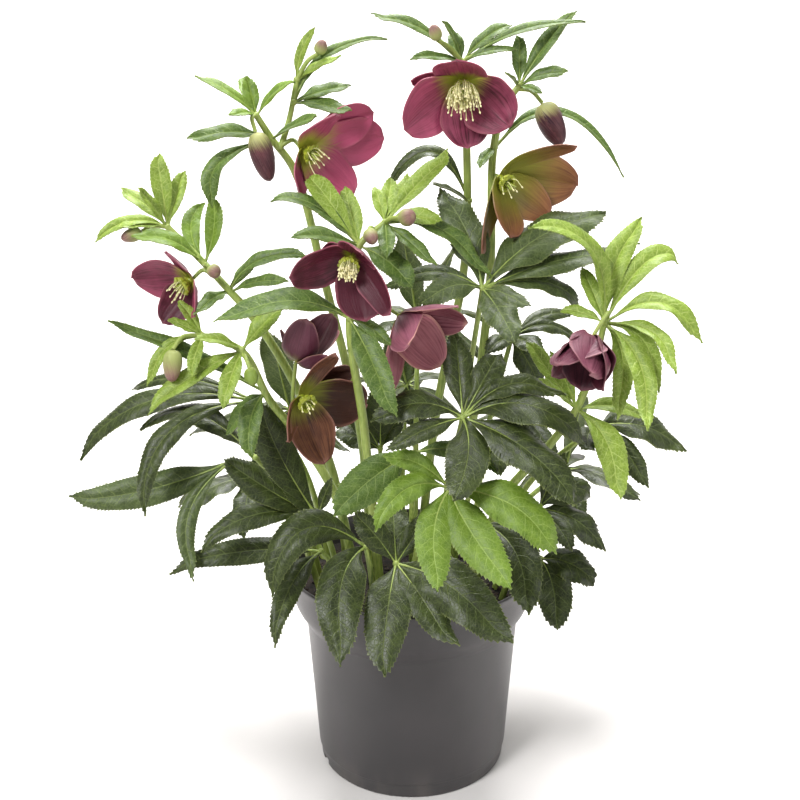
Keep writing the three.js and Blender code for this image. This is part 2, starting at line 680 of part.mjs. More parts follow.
function makeLeaf({ name, foot, hub, face, tone, blades }) {
  const middle = [
    foot[0] + (hub[0] - foot[0]) * STALK_MIDDLE.along,
    foot[1] + (hub[1] - foot[1]) * STALK_MIDDLE.along,
    SOIL_TOP + (hub[2] - SOIL_TOP) * STALK_MIDDLE.up,
  ];
  const stalk = planted(foot, [middle, hub], LEAF_STALK);
  const parts = blades.map((row) => leafBlade(hub, row, face, LEAF_FOLD));
  addNode(name, joined([stalk, knob(hub, LEAF_KNOB), ...parts]), tone, 0.45);
}

function fanBlade({ hub, aim, reach, drop }, angle) {
  const heading = THREE.MathUtils.degToRad(aim + angle);
  const length = reach * (1 - FAN.shorter * Math.abs(angle) / FAN.widest);
  const wave = FAN_DROP.wave * Math.cos(THREE.MathUtils.degToRad(angle * FAN_DROP.waves));
  return [
    hub[0] + length * Math.cos(heading),
    hub[1] + length * Math.sin(heading),
    hub[2] - drop * (FAN_DROP.even + wave),
    FAN.width * length / reach,
    FAN.rise * length,
    0,
  ];
}

function makeBackLeaf(leaf) {
  const blades = [...FAN.angles.map((angle) => fanBlade(leaf, angle)), ...leaf.inner];
  makeLeaf({ ...leaf, face: [0, 0, 1], tone: "dark", blades });
}

// ---- flower stems ----
// A flower stalk ends just short of the back of what it carries.
function seatOf(carried) {
  const bloom = BLOOMS.find(({ name }) => name === carried);
  if (bloom) {
    const way = vec(bloom.facing).normalize();
    return vec(bloom.heart).addScaledVector(way, -BLOOM_CORE - SEAT_GAP).toArray();
  }
  const bud = BUDS.find(({ name }) => name === carried);
  const way = vec(bud.to).sub(vec(bud.from)).normalize();
  return vec(bud.from).addScaledVector(way, -SEAT_GAP).toArray();
}

function makeStem({ name, foot, route, branches, stalks, sprays }) {
  const main = planted(foot, route, STEM);
  const arms = branches.map((points) => tube(points, BRANCH));
  const thin = stalks.map(([from, via, carried]) => (
    tube([from, via, seatOf(carried)], FLOWER_STALK)
  ));
  const bracts = sprays.flatMap(({ hub, blades }) => [
    knob(hub, BRACT_KNOB),
    ...blades.map((row) => leafBlade(hub, row, UPWARD, BRACT_FOLD)),
  ]);
  addNode(name, joined([main, ...arms, ...thin, ...bracts]), "stem", 0.5);
}

// ---- blooms ----
function makeSepals({ name, heart, facing, tone, sepals }) {
  const way = vec(facing).normalize();
  const petals = sepals.map(([x, y, z, width, bulge]) => blade({
    ...SEPAL, root: heart, tip: [x, y, z], bend: way.clone().multiplyScalar(-bulge),
    face: facing, width, outline: sepalOutline, ribs: SEPAL_RIBS,
  }));
  addNode(name, joined([knob(heart, BLOOM_CORE, way), ...petals]), tone, 0.5);
}

// A centre is a small core with spikes that widen outwards, round the way the bloom faces.
function makeCentre({ name, heart, facing }) {
  const way = vec(facing).normalize();
  const seat = vec(heart).addScaledVector(way, BLOOM_CORE + CENTRE_CORE + SEAT_GAP);
  const side = UP.clone().cross(way).normalize();
  const over = way.clone().cross(side);
  const spike = (turn, spread, length, radius) => {
    const heading = way.clone().multiplyScalar(Math.cos(spread));
    heading.addScaledVector(side, Math.sin(spread) * Math.cos(turn));
    heading.addScaledVector(over, Math.sin(spread) * Math.sin(turn));
    const cone = new THREE.ConeGeometry(radius, length, 3).rotateX(-Math.PI / 2);
    const middle = seat.clone().addScaledVector(heading, length / 2 + SPIKE_START);
    return solidOf(aimed(cone, heading, middle));
  };
  const ring = (count, make) => (
    Array.from({ length: count }, (_, i) => make((i / count) * 2 * Math.PI, i % 2))
  );
  const nectaries = ring(NECTARIES.count, (turn) => (
    spike(turn, NECTARIES.spread, NECTARIES.length, NECTARIES.radius)
  ));
  const stamens = ring(STAMENS.count, (turn, odd) => spike(
    turn, STAMENS.spread + STAMENS.outer * odd, STAMENS.length + STAMENS.longer * odd,
    STAMENS.radius,
  ));
  const carpel = spike(0, CARPEL.spread, CARPEL.length, CARPEL.radius);
  const core = knob(seat.toArray(), CENTRE_CORE, way);
  addNode(`${name}_centre`, joined([core, ...nectaries, ...stamens, carpel]), "centre", 0.6);
}

// ---- buds: folded sepals show as soft ridges ----
function makeBud({ name, from, to, width, tone }) {
  const way = vec(to).sub(vec(from));
  const length = way.length();
  const bud = new THREE.SphereGeometry(1, BUD.around, BUD.along).rotateX(Math.PI / 2);
  const place = bud.attributes.position;
  for (let i = 0; i < place.count; i += 1) {
    const p = new THREE.Vector3().fromBufferAttribute(place, i);
    const ridge = 1 + BUD.ridge * Math.cos(BUD.ridges * Math.atan2(p.y, p.x));
    const along = (p.z + 1) / 2;
    const half = (width / 2) * ridge * (1 - BUD.taper * along);
    place.setXYZ(i, p.x * half, p.y * half, along * length);
  }
  addNode(name, solidOf(aimed(bud, way.normalize(), vec(from))), tone, 0.5);
}

LEAVES.forEach(makeLeaf);
BACK_LEAVES.forEach(makeBackLeaf);
STEMS.forEach(makeStem);
BLOOMS.forEach(makeSepals);
BLOOMS.forEach(makeCentre);
BUDS.forEach(makeBud);
makePot();
makeSoil(feet);

export default group;
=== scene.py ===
# A flowering hellebore in its round nursery pot. Metres, +Z up, -Y towards the plant's front.
# Places in the tables are millimetres from the centre of the pot's underside.
import math
import random
from collections import namedtuple

import bmesh
import bpy
from mathutils import Matrix, Vector, noise


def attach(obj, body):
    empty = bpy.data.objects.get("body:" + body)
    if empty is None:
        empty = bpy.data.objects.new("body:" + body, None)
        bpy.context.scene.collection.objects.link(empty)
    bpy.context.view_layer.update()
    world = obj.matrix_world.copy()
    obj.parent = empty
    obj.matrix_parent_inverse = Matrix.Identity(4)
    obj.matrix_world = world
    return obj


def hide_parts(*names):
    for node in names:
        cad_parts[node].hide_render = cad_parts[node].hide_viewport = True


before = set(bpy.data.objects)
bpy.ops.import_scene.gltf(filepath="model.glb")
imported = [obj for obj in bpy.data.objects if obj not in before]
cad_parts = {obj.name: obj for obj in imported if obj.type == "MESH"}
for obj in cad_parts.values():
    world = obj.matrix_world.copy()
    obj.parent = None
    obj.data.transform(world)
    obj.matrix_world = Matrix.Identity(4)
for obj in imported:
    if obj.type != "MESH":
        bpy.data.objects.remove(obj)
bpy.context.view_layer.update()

MM = 0.001
SEED = 11

# ---- the plant's own measures, in millimetres ----
# A fold lifts a blade's sides, up where it is above 0, and a roll tips it, both as a share of
# its half width.
STEM = {"foot": 3.2, "top": 1.9, "sides": 14}
BRANCH = {"foot": 2.0, "top": 1.5, "sides": 12}
FLOWER_STALK = {"foot": 1.5, "top": 1.2, "sides": 10}
LEAF_STALK = {"foot": 2.3, "top": 1.6, "sides": 12}
STALK_MIDDLE = {"along": 0.38, "up": 0.58}
HOLE_FLOOR = 120.1
SOIL_TOP = 133

LEAF_THICKNESS = 0.7
SEPAL_THICKNESS = 0.6
LEAF_FOLD = -0.12
BRACT_FOLD = 0.16
SEPAL_FOLD = 0.1
SEPAL_ROLL = 0.16
TOOTH_SPACING = 2.3
TOOTH_STEPS = 3
BLOOM_CORE = 3.4

UPWARD = (0, -0.5, 0.86)
FORWARD = (0, -0.78, 0.62)

Leaf = namedtuple("Leaf", "name foot hub face tone blades")
BackLeaf = namedtuple("BackLeaf", "name foot hub aim reach drop inner")
Stem = namedtuple("Stem", "name foot route branches stalks sprays")
Bloom = namedtuple("Bloom", "name heart facing tone sepals")
Bud = namedtuple("Bud", "name start end width tone")

# ---- the plant's pieces ----
# A leaf has the x and y of its stalk's foot, its hub, where its leaflets face, and its leaflets.
# A leaflet or bract is: tip x, y, z, width, how far its middle rises and how far it leans to +X.
LEAVES = (
    Leaf("leaf_middle", (16, -38), (30, -75, 274), UPWARD, "dark", (
        (-23, -87, 274, 20, 11, 0), (26, -42, 318, 18, 3, 0), (52, -48, 305, 18, 8, 4),
        (89, -62, 280, 15, 16, 0), (104, -82, 261, 28, 16, 0), (94, -117, 236, 29, 6, 5),
        (23, -122, 240, 25, 3, 6), (-14, -110, 266, 14, 3, 0),
    )),
    Leaf("leaf_high", (28, -4), (42, -45, 345), UPWARD, "soft", (
        (123, 0, 382, 28, 9, -4), (140, -12, 359, 19, 7, 0), (106, -20, 326, 15, 11, 6),
        (59, -88, 324, 20, 3, 0), (68, -66, 338, 12, 3, 0), (5, -64, 339, 19, 7, 0),
        (16, -8, 398, 24, 4, 4), (-18, -28, 338, 13, 12, 0),
    )),
    Leaf("leaf_inner", (40, 12), (65, 15, 297), UPWARD, "dark", (
        (109, 40, 306, 11, 8, 0), (112, 25, 290, 14, 12, 0), (84, -5, 292, 17, 4, 0),
        (60, 42, 324, 15, 2, 0), (48, -4, 292, 14, 4, 0), (86, 6, 262, 18, 4, 0),
    )),
    Leaf("leaf_inner_left", (-22, 42), (-22, 36, 212), UPWARD, "dark", (
        (-54, 32, 224, 20, 4, 0), (-45, 34, 250, 20, 2, 0), (-21, 38, 260, 20, 2, 0),
        (-6, 38, 238, 14, 2, 0),
    )),
    Leaf("leaf_front_bright", (-4, -44), (22, -95, 237), FORWARD, "fresh", (
        (-17, -100, 257, 12, 7, 0), (-22, -125, 223, 16, 13, -3), (17, -140, 193, 21, 3, -7),
        (57, -140, 195, 25, 2, -5), (81, -125, 208, 25, 9, 8),
    )),
    Leaf("leaf_middle_bright", (0, -26), (0, -72, 250), FORWARD, "medium", (
        (-46, -105, 224, 24, 4, 0), (52, -92, 246, 11, 8, 0),
    )),
    Leaf("leaf_over_rim", (-10, -58), (-10, -62, 172), FORWARD, "dark", (
        (-19, -118, 125, 28, 9, 0), (25, -106, 136, 22, 8, -3), (57, -110, 140, 32, 11, 2),
        (-37, -54, 203, 17, 3, 0), (-13, -26, 204, 20, 2, 0), (14, -40, 200, 14, 1, 0),
    )),
    Leaf("leaf_right_upper", (50, 4), (118, -25, 251), UPWARD, "dark", (
        (174, -20, 232, 24, 8, 3), (146, -50, 218, 16, 2, 4), (109, -60, 246, 14, 2, -4),
        (161, 10, 244, 14, 4, 0),
    )),
    Leaf("leaf_right_middle", (54, -14), (81, -35, 198), UPWARD, "dark", (
        (124, -45, 173, 21, 7, 2), (118, -22, 202, 22, 9, 0), (98, -32, 234, 13, 2, 0),
        (100, -62, 181, 14, 2, 2),
    )),
    Leaf("leaf_right_lower", (56, -32), (83, -40, 165), UPWARD, "dark", (
        (118, -52, 153, 24, 6, 0), (90, -78, 134, 24, 5, 3),
    )),
    Leaf("leaf_front_right", (36, -48), (44, -52, 195), FORWARD, "dark", (
        (68, -104, 158, 26, 10, 8), (80, -60, 178, 13, 4, 0),
    )),
    Leaf("leaf_left_upper", (-54, 14), (-100, -20, 266), UPWARD, "dark", (
        (-166, -66, 206, 16, 17, -18), (-219, -10, 226, 18, 19, -6), (-188, 12, 260, 10, 13, -6),
    )),
    Leaf("leaf_left_arch", (-60, -2), (-99, -35, 233), UPWARD, "dark", (
        (-175, -8, 243, 18, 21, -3), (-150, 20, 228, 15, 14, 0),
    )),
    Leaf("leaf_left_long", (-58, -20), (-115, -30, 229), FORWARD, "soft", (
        (-219, -40, 206, 21, -6, 0), (-133, -70, 165, 12, 3, -17),
    )),
    Leaf("leaf_left_lower", (-46, -36), (-60, -45, 197), UPWARD, "dark", (
        (-94, -38, 270, 24, 4, -6), (-117, -54, 240, 22, 0, -3), (-50, -50, 224, 9, 2, 0),
        (-132, -72, 187, 18, 12, -2), (-82, -44, 216, 13, 3, 0),
    )),
    Leaf("leaf_left_bottom", (-36, -50), (-58, -44, 172), FORWARD, "dark", (
        (-155, -58, 168, 17, 6, 4), (-85, -104, 137, 15, 10, -3),
    )),
    Leaf("leaf_front_left", (-24, -56), (-29, -58, 182), FORWARD, "dark", (
        (-88, -90, 164, 24, 28, -8), (-40, -116, 131, 29, 12, -9),
    )),
)

# These leaves fan out round their aim, in degrees from +X, with leaflets of this reach that drop
# this far, and have a few inner leaflets.
BACK_LEAVES = (
    BackLeaf("leaf_back_left", (-40, 38), (-88, 80, 226), 140, 72, 34, (
        (-98, 52, 294, 24, 2, 0), (-46, 62, 198, 20, 3, 0),
    )),
    BackLeaf("leaf_back", (-8, 56), (-4, 108, 236), 92, 72, 36, (
        (-12, 76, 280, 24, 3, 0), (26, 80, 284, 22, 3, 0), (4, 74, 212, 22, 3, 0),
    )),
    BackLeaf("leaf_back_right", (30, 50), (76, 88, 222), 48, 72, 34, (
        (60, 58, 184, 22, 2, 0), (84, 62, 268, 22, 2, 0),
    )),
    BackLeaf("leaf_back_high", (2, 14), (4, 52, 300), 80, 72, 26, (
        (-6, 34, 364, 22, 2, 0), (30, 40, 356, 20, 2, 0),
    )),
    BackLeaf("leaf_side_left", (-58, 30), (-112, 46, 186), 160, 64, 30, ()),
    BackLeaf("leaf_side_right", (56, 30), (108, 52, 190), 24, 66, 32, (
        (118, 42, 252, 22, 2, 0),
    )),
)

# A stem has its route, its branches, a flower stalk to each bloom or bud (start, bend, what it
# carries) and sprays of bracts (hub, tone, bracts).
STEMS = (
    Stem(
        "stem_left_tall", (-28, 20),
        route=((-34, 12, 230), (-56, 4, 340), (-72, -6, 410), (-85, -8, 429), (-93, -12, 443)),
        branches=(((-80, -8, 422), (-74, -5, 440), (-69, -3, 463)),),
        stalks=(
            ((-93, -12, 443), (-95, -17, 442), "bud_left_tall"),
            ((-69, -3, 463), (-62, -3, 474), "bud_left_top"),
            ((-80, -8, 424), (-72, -8, 428), "bloom_left_tall"),
        ),
        sprays=(
            ((-85, -8, 429), "medium", (
                (-132, -25, 429, 12, 5, 0), (-118, -22, 391, 12, 4, -16),
                (-54, -30, 444, 10, 2, 0),
            )),
            ((-93, -12, 443), "fresh", (
                (-128, -15, 464, 9, 5, 0), (-99, -5, 465, 9, 1, 0), (-69, -14, 463, 9, 4, 0),
                (-106, -28, 444, 9, 2, 0), (-104, 12, 464, 9, 2, 0),
            )),
            ((-71, -5, 450), "medium", (
                (-37, -12, 444, 12, 2, 0), (-37, 2, 459, 11, 2, 0), (-15, 6, 487, 8, 9, -8),
            )),
            ((-69, -3, 463), "bright", (
                (-57, -3, 493, 7, 1, -3), (-42, -8, 476, 9, 2, 0),
            )),
        ),
    ),
    Stem(
        "stem_middle_tall", (4, 30),
        route=((16, 24, 240), (34, 14, 350), (34, 12, 420), (32, 8, 452), (30, 6, 473)),
        branches=(),
        stalks=(
            ((30, 6, 473), (22, -4, 482), "bud_middle_top"),
            ((32, 7, 460), (31, 0, 466), "bloom_middle_tall"),
        ),
        sprays=(
            ((30, 6, 473), "medium", (
                (-24, 0, 498, 9, 8, 0), (-1, -7, 476, 8, 2, 0), (24, 16, 490, 9, 1, 0),
                (60, 14, 494, 10, 4, 0), (103, 0, 495, 9, 8, 0), (62, -2, 480, 8, 3, 0),
                (18, -2, 497, 7, 1, 2),
            )),
            ((36, 12, 388), "dark", (
                (-17, 14, 393, 11, 28, 2), (12, -12, 402, 8, 2, 0),
            )),
        ),
    ),
    Stem(
        "stem_middle_branch", (22, 16),
        route=((40, 8, 240), (50, 8, 340), (50, 4, 420), (56, 4, 446), (65, 5, 459)),
        branches=(),
        stalks=(
            ((65, 5, 457), (72, 4, 456), "bud_middle_right"),
            ((51, 6, 398), (52, 1, 405), "bloom_middle_olive"),
        ),
        sprays=(
            ((65, 5, 459), "medium", (
                (65, 14, 488, 9, 2, 0), (98, 12, 502, 12, 4, 0), (93, -4, 467, 11, 3, 0),
                (56, -6, 467, 7, 1, 0), (76, -12, 456, 7, 1, 0),
            )),
            ((51, 5, 422), "medium", (
                (135, 22, 403, 11, 30, -2), (40, -14, 412, 7, 2, 0),
            )),
        ),
    ),
    Stem(
        "stem_front", (-20, -26),
        route=(
            (-24, -34, 180), (-30, -46, 260), (-37, -56, 326), (-34, -46, 352), (-31, -45, 371),
            (-16, -42, 384),
        ),
        branches=(),
        stalks=(
            ((-16, -42, 384), (-11, -49, 388), "bud_front_upper"),
            ((-21, -43, 377), (-24, -52, 383), "bud_front_lower"),
            ((-34, -47, 350), (-34, -52, 367), "bloom_front"),
            ((-36, -54, 330), (-20, -48, 336), "bloom_front_rose"),
        ),
        sprays=(
            ((-37, -58, 330), "medium", (
                (-114, -72, 329, 20, 13, 3), (-11, -96, 281, 17, 5, 0), (-12, -70, 316, 9, 3, 0),
            )),
            ((-31, -45, 371), "medium", (
                (-83, -40, 398, 11, 10, 0), (-60, -20, 390, 11, 4, 0), (-69, -64, 380, 13, 3, 0),
                (0, -62, 349, 17, 3, 2),
            )),
            ((-31, -45, 371), "bright", (
                (-62, -32, 410, 15, 7, -3), (-41, -22, 402, 12, 1, 0),
            )),
            ((-16, -42, 384), "bright", (
                (24, -16, 421, 14, 3, 0), (-12, -22, 407, 10, 1, 0), (17, -48, 385, 12, 4, 0),
                (-22, -28, 403, 8, 1, 0), (-1, -20, 409, 9, 1, 0),
            )),
            ((-16, -42, 384), "medium", (
                (-14, -66, 368, 10, 3, 0), (13, -62, 362, 10, 2, 0), (44, -44, 350, 13, 13, 4),
            )),
        ),
    ),
    Stem(
        "stem_left_long", (-42, 2),
        route=(
            (-52, -6, 210), (-78, -20, 285), (-98, -26, 322), (-112, -28, 340), (-127, -22, 355),
            (-149, -18, 377),
        ),
        branches=(),
        stalks=(
            ((-149, -18, 377), (-157, -20, 378), "bud_far_left"),
            ((-127, -22, 354), (-125, -28, 356), "bud_left_small"),
            ((-120, -25, 347), (-128, -22, 351), "bloom_far_left"),
        ),
        sprays=(
            ((-149, -18, 377), "bright", (
                (-155, -8, 420, 12, 2, 0), (-140, -2, 409, 10, 1, 0), (-178, -10, 397, 11, 4, 0),
                (-191, -32, 371, 9, 8, 0), (-163, -30, 402, 8, 2, 0), (-178, -30, 379, 8, 2, 0),
            )),
            ((-127, -22, 355), "fresh", (
                (-167, -34, 372, 13, 8, 0), (-121, -14, 395, 11, 1, 3), (-130, 4, 388, 11, 3, -8),
            )),
            ((-112, -28, 339), "medium", (
                (-62, -34, 363, 10, 8, -6), (-93, -14, 358, 9, 2, 0), (-74, -48, 350, 9, 3, 0),
                (-129, -52, 330, 11, 3, 0),
            )),
        ),
    ),
    Stem(
        "stem_left_low", (-36, -18),
        route=(
            (-48, -28, 200), (-72, -38, 250), (-88, -46, 276), (-103, -45, 306), (-127, -42, 315),
        ),
        branches=(),
        stalks=(
            ((-127, -42, 315), (-138, -49, 316), "bud_left_low"),
            ((-103, -45, 304), (-100, -53, 304), "bud_left_inner"),
            ((-72, -38, 250), (-74, -37, 272), "bloom_back_view"),
            ((-66, -36, 240), (-66, -40, 272), "bloom_low_olive"),
        ),
        sprays=(
            ((-127, -42, 315), "bright", (
                (-142, -36, 335, 8, 2, 0), (-158, -56, 287, 8, 8, -6), (-132, -64, 296, 8, 3, 0),
                (-147, -45, 326, 7, 1, 0),
            )),
            ((-103, -45, 307), "bright", (
                (-128, -62, 318, 11, 3, 0), (-160, -66, 275, 15, 3, 0),
                (-113, -72, 279, 11, 3, 0), (-79, -40, 332, 14, 2, 0),
            )),
            ((-90, -45, 280), "medium", (
                (-183, -42, 322, 11, 4, 0), (-98, -70, 246, 14, 4, -4),
                (-116, -38, 250, 13, 3, 0),
            )),
        ),
    ),
    Stem(
        "stem_right", (38, -16),
        route=((58, -26, 200), (86, -34, 240), (103, -38, 268), (112, -42, 300), (116, -45, 324)),
        branches=(),
        stalks=(
            ((116, -45, 322), (116, -56, 333), "bloom_right"),
        ),
        sprays=(
            ((116, -45, 324), "bright", (
                (141, -22, 382, 16, 5, -6), (163, -30, 360, 15, 17, 0),
                (170, -62, 315, 15, 19, 5), (150, -82, 303, 10, 9, 10),
                (146, -62, 285, 11, 10, 8), (134, -92, 271, 14, 6, 10), (122, -60, 268, 13, 6, 8),
            )),
            ((116, -45, 324), "bright", (
                (104, -22, 352, 11, 2, 0), (66, -64, 386, 15, 17, 13), (90, -36, 330, 8, 2, 0),
            )),
            ((103, -38, 266), "bright", (
                (124, -72, 220, 19, 6, 7), (144, -44, 262, 11, 6, 0), (72, -26, 307, 12, 5, -4),
                (73, -52, 290, 9, 3, 0), (88, -16, 297, 9, 2, 0),
            )),
        ),
    ),
)

# A sepal is: tip x, y, z, width, how far its middle bulges back from where the bloom faces.
BLOOMS = (
    Bloom("bloom_left_tall", (-65, -14, 423), (0.72, -0.62, -0.3), "magenta", (
        (-23, 2, 443, 27, 4), (-17, 10, 427, 30, 4), (-36, -8, 395, 30, 5),
        (-66, -30, 399, 20, 4), (-44, -38, 446, 20, 4),
    )),
    Bloom("bloom_middle_tall", (30, -14, 462), (0, -0.9, -0.4), "magenta", (
        (-4, -24, 436, 36, 5), (58, -24, 438, 33, 5), (34, -14, 424, 30, 4),
        (25, -44, 476, 31, 4), (0, -18, 463, 12, 2),
    )),
    Bloom("bloom_middle_olive", (54, -8, 405), (0.55, -0.75, -0.35), "olive", (
        (103, 6, 398, 34, 5), (60, -29, 373, 33, 4), (42, -39, 365, 19, 3), (97, -30, 426, 12, 9),
        (85, -2, 381, 24, 4),
    )),
    Bloom("bloom_front", (-35, -66, 368), (-0.15, -0.88, -0.45), "magenta", (
        (-69, -80, 359, 33, 5), (-27, -72, 332, 29, 5), (-13, -88, 340, 18, 5),
        (-27, -98, 376, 24, 5), (-52, -62, 371, 16, 4),
    )),
    Bloom("bloom_front_rose", (-7, -54, 330), (0.6, -0.68, -0.42), "rose", (
        (33, -52, 325, 20, 4), (17, -60, 301, 31, 5), (-12, -68, 289, 22, 4),
        (-1, -88, 322, 26, 6), (26, -88, 344, 12, 5),
    )),
    Bloom("bloom_far_left", (-136, -24, 345), (-0.62, -0.7, -0.34), "magenta", (
        (-173, -18, 345, 31, 5), (-154, -28, 319, 21, 4), (-131, -50, 329, 14, 4),
        (-147, -40, 365, 14, 3), (-150, 0, 328, 18, 4),
    )),
    Bloom("bloom_back_view", (-71, -37, 299), (0.2, 0.25, 0.94), "rose", (
        (-47, -14, 312, 22, 8), (-48, -50, 331, 25, 9), (-62, -58, 330, 22, 9),
        (-79, -40, 318, 15, 6), (-51, -53, 306, 15, 7),
    )),
    Bloom("bloom_low_olive", (-67, -56, 280), (0.55, -0.78, -0.3), "olive", (
        (-53, -66, 241, 30, 5), (-28, -34, 268, 31, 3), (-73, -80, 261, 16, 5),
        (-44, -72, 311, 12, 4), (-36, -38, 291, 17, 4),
    )),
    Bloom("bloom_right", (106, -66, 320), (-0.38, -0.55, -0.74), "wine", (
        (84, -86, 309, 34, 8), (101, -95, 307, 30, 8), (110, -85, 294, 32, 8),
        (100, -70, 289, 32, 8), (83, -71, 298, 32, 8),
    )),
)

BUDS = (
    Bud("bud_left_tall", (-93, -19, 434), (-85, -22, 405), 15, "wine"),
    Bud("bud_left_top", (-56, -4, 478), (-52, -5, 486), 8, "rose"),
    Bud("bud_middle_top", (15, -10, 486), (12, -12, 495), 8, "olive"),
    Bud("bud_middle_right", (79, 2, 449), (91, -3, 424), 17, "wine"),
    Bud("bud_front_upper", (-6, -54, 389), (1, -61, 391), 11, "rose"),
    Bud("bud_front_lower", (-25, -58, 382), (-22, -67, 377), 9, "rose"),
    Bud("bud_far_left", (-164, -22, 375), (-176, -26, 371), 9, "rose"),
    Bud("bud_left_small", (-121, -32, 354), (-117, -39, 352), 9, "rose"),
    Bud("bud_left_low", (-143, -55, 310), (-144, -60, 291), 12, "rose"),
    Bud("bud_left_inner", (-97, -59, 299), (-94, -68, 292), 9, "medium"),
)

# The fan of the back leaves: a leaflet's length falls by the share called shorter at the widest
# angle, and it rises by a share of its length.
FAN = {"angles": (-104, -52, 0, 52, 104), "widest": 104, "width": 25, "shorter": 0.3, "rise": 0.14}
FAN_DROP = {"even": 0.7, "wave": 0.3, "waves": 3}


# ---- small helpers ----
def at(place):
    """A place in millimetres as a vector in metres."""
    return Vector(place) * MM


def around(radius, turn, height):
    """The place at this distance and heading from the pot's middle line."""
    return at((radius * math.cos(turn), radius * math.sin(turn), height))


def smooth_step(low, high, value):
    share = min(1.0, max(0.0, (value - low) / (high - low)))
    return share * share * (3 - 2 * share)


def paint(tone):
    """A colour given as 0 to 255 display values, as the linear colour that a shader takes."""
    def linear(value):
        value /= 255
        return value / 12.92 if value <= 0.04045 else ((value + 0.055) / 1.055) ** 2.4
    return (*map(linear, tone), 1.0)


# ---- materials ----
class Value:
    """A number that varies over a surface. Arithmetic on it adds the nodes that work it out."""

    def __init__(self, look, socket):
        self.look = look
        self.socket = socket

    def __add__(self, other):
        return self.look.math("ADD", self, other)

    def __sub__(self, other):
        return self.look.math("SUBTRACT", self, other)

    def __mul__(self, other):
        return self.look.math("MULTIPLY", self, other)

    def __truediv__(self, other):
        return self.look.math("DIVIDE", self, other)

    def __abs__(self):
        return self.look.math("ABSOLUTE", self)


class Finish:
    """Builds the nodes of one material with short calls."""

    def __init__(self, name):
        self.material = bpy.data.materials.new(name)
        self.material.use_nodes = True
        self.tree = self.material.node_tree
        self.shader = self.tree.nodes["Principled BSDF"]

    def plug(self, socket, value):
        if isinstance(value, Value):
            self.tree.links.new(value.socket, socket)
        else:
            socket.default_value = value

    def outputs(self, kind, inputs, **settings):
        """Adds a node with these inputs and settings, and returns its outputs."""
        node = self.tree.nodes.new("ShaderNode" + kind)
        for key, value in settings.items():
            setattr(node, key, value)
        for key, value in inputs.items():
            self.plug(node.inputs[key], value)
        return node.outputs

    def node(self, kind, inputs, output=0, **settings):
        return Value(self, self.outputs(kind, inputs, **settings)[output])

    def math(self, operation, first, second=0.0):
        return self.node("Math", {0: first, 1: second}, operation=operation)

    def step(self, value, low, high, start=0.0, end=1.0):
        """start below low and end above high, and smooth between them."""
        inputs = {"Value": value, "From Min": low, "From Max": high, "To Min": start,
                  "To Max": end}
        return self.node("MapRange", inputs, interpolation_type="SMOOTHSTEP")

    def line(self, distance, inner, outer):
        """1 within inner of a line, and 0 beyond outer."""
        return self.step(distance, inner, outer, 1.0, 0.0)

    def mix(self, share, first, second):
        """A blend of two colours, each of them display values or a colour blended before."""
        tones = [paint(tone) if isinstance(tone, tuple) else tone for tone in (first, second)]
        return self.node("Mix", {0: share, 6: tones[0], 7: tones[1]}, 2, data_type="RGBA")

    def noise(self, place, scale, detail=3.0, rough=0.5):
        inputs = {"Vector": place, "Scale": scale, "Detail": detail, "Roughness": rough}
        return self.node("TexNoise", inputs)

    def parts(self, vector):
        """The three numbers that a vector holds."""
        return [Value(self, socket) for socket in self.outputs("SeparateXYZ", {0: vector})]

    def attribute(self, name):
        """The three numbers of an attribute of the piece."""
        return self.parts(self.node("Attribute", {}, "Vector", attribute_name=name))

    def place(self, x, y, z):
        return self.node("CombineXYZ", {0: x, 1: y, 2: z})

    def object_place(self):
        return self.node("TexCoord", {}, "Object")

    def drawn_out(self, place, rise):
        """A place that varies slowly along Z, so that a pattern on it is drawn out upwards."""
        return self.node("Mapping", {"Vector": place, "Scale": (1.0, 1.0, rise)})

    def bump(self, height, distance, strength=0.6):
        inputs = {"Height": height, "Distance": distance, "Strength": strength}
        self.plug(self.shader.inputs["Normal"], self.node("Bump", inputs))

    def finish(self, colour, rough, specular):
        self.plug(self.shader.inputs["Base Color"], colour)
        self.plug(self.shader.inputs["Roughness"], rough)
        self.shader.inputs["Specular IOR Level"].default_value = specular
        return self.material


# The lines on a leaf, in millimetres on its blade. A line's pair is where it starts to fade and
# where it ends, from its middle outwards.
RIB_LINE = (0.2, 0.85)
RIB_THINNING = 0.4
VEIN_SPACING = 7.5
VEIN_LINE = (0.08, 0.5)
VEIN_LEAN = 0.75
VEIN_BEND = 0.03
VEIN_WANDER = 7.0
VEIN_STAGGER = 0.22
VEIN_ENDS = (0.4, 0.95)
NET_SCALE = 0.42
NET_LINE = (0.0, 0.12)
TOOTH_TIP = (150, 160, 96)

# A row is: material, deep green, light green, veins, roughness, net, side veins.
LEAF_TONES = {
    "dark": ("leaf_dark", (28, 37, 11), (50, 61, 21), (96, 108, 54), 0.42, 0.45, 0.5),
    # A lighter, greyer copy of the dark leaf, on two leaves that catch the light: painted sheen.
    "soft": ("leaf_soft", (46, 58, 24), (66, 80, 38), (112, 126, 70), 0.46, 0.5, 0.5),
    "medium": ("leaf_medium", (58, 80, 28), (80, 103, 38), (130, 148, 78), 0.46, 0.5, 0.5),
    "fresh": ("leaf_fresh", (78, 104, 24), (100, 126, 36), (142, 164, 78), 0.48, 0.45, 0.5),
    "bright": ("bract_bright", (98, 120, 34), (122, 145, 50), (168, 184, 100), 0.48, 0.7, 0.65),
    "under_dark": ("leaf_underside", (60, 76, 34), (78, 94, 46), (120, 134, 80), 0.55, 0.7, 0.7),
    "under_light": (
        "leaf_underside_light", (96, 122, 54), (112, 138, 66), (150, 170, 100), 0.55, 0.5, 0.7),
}


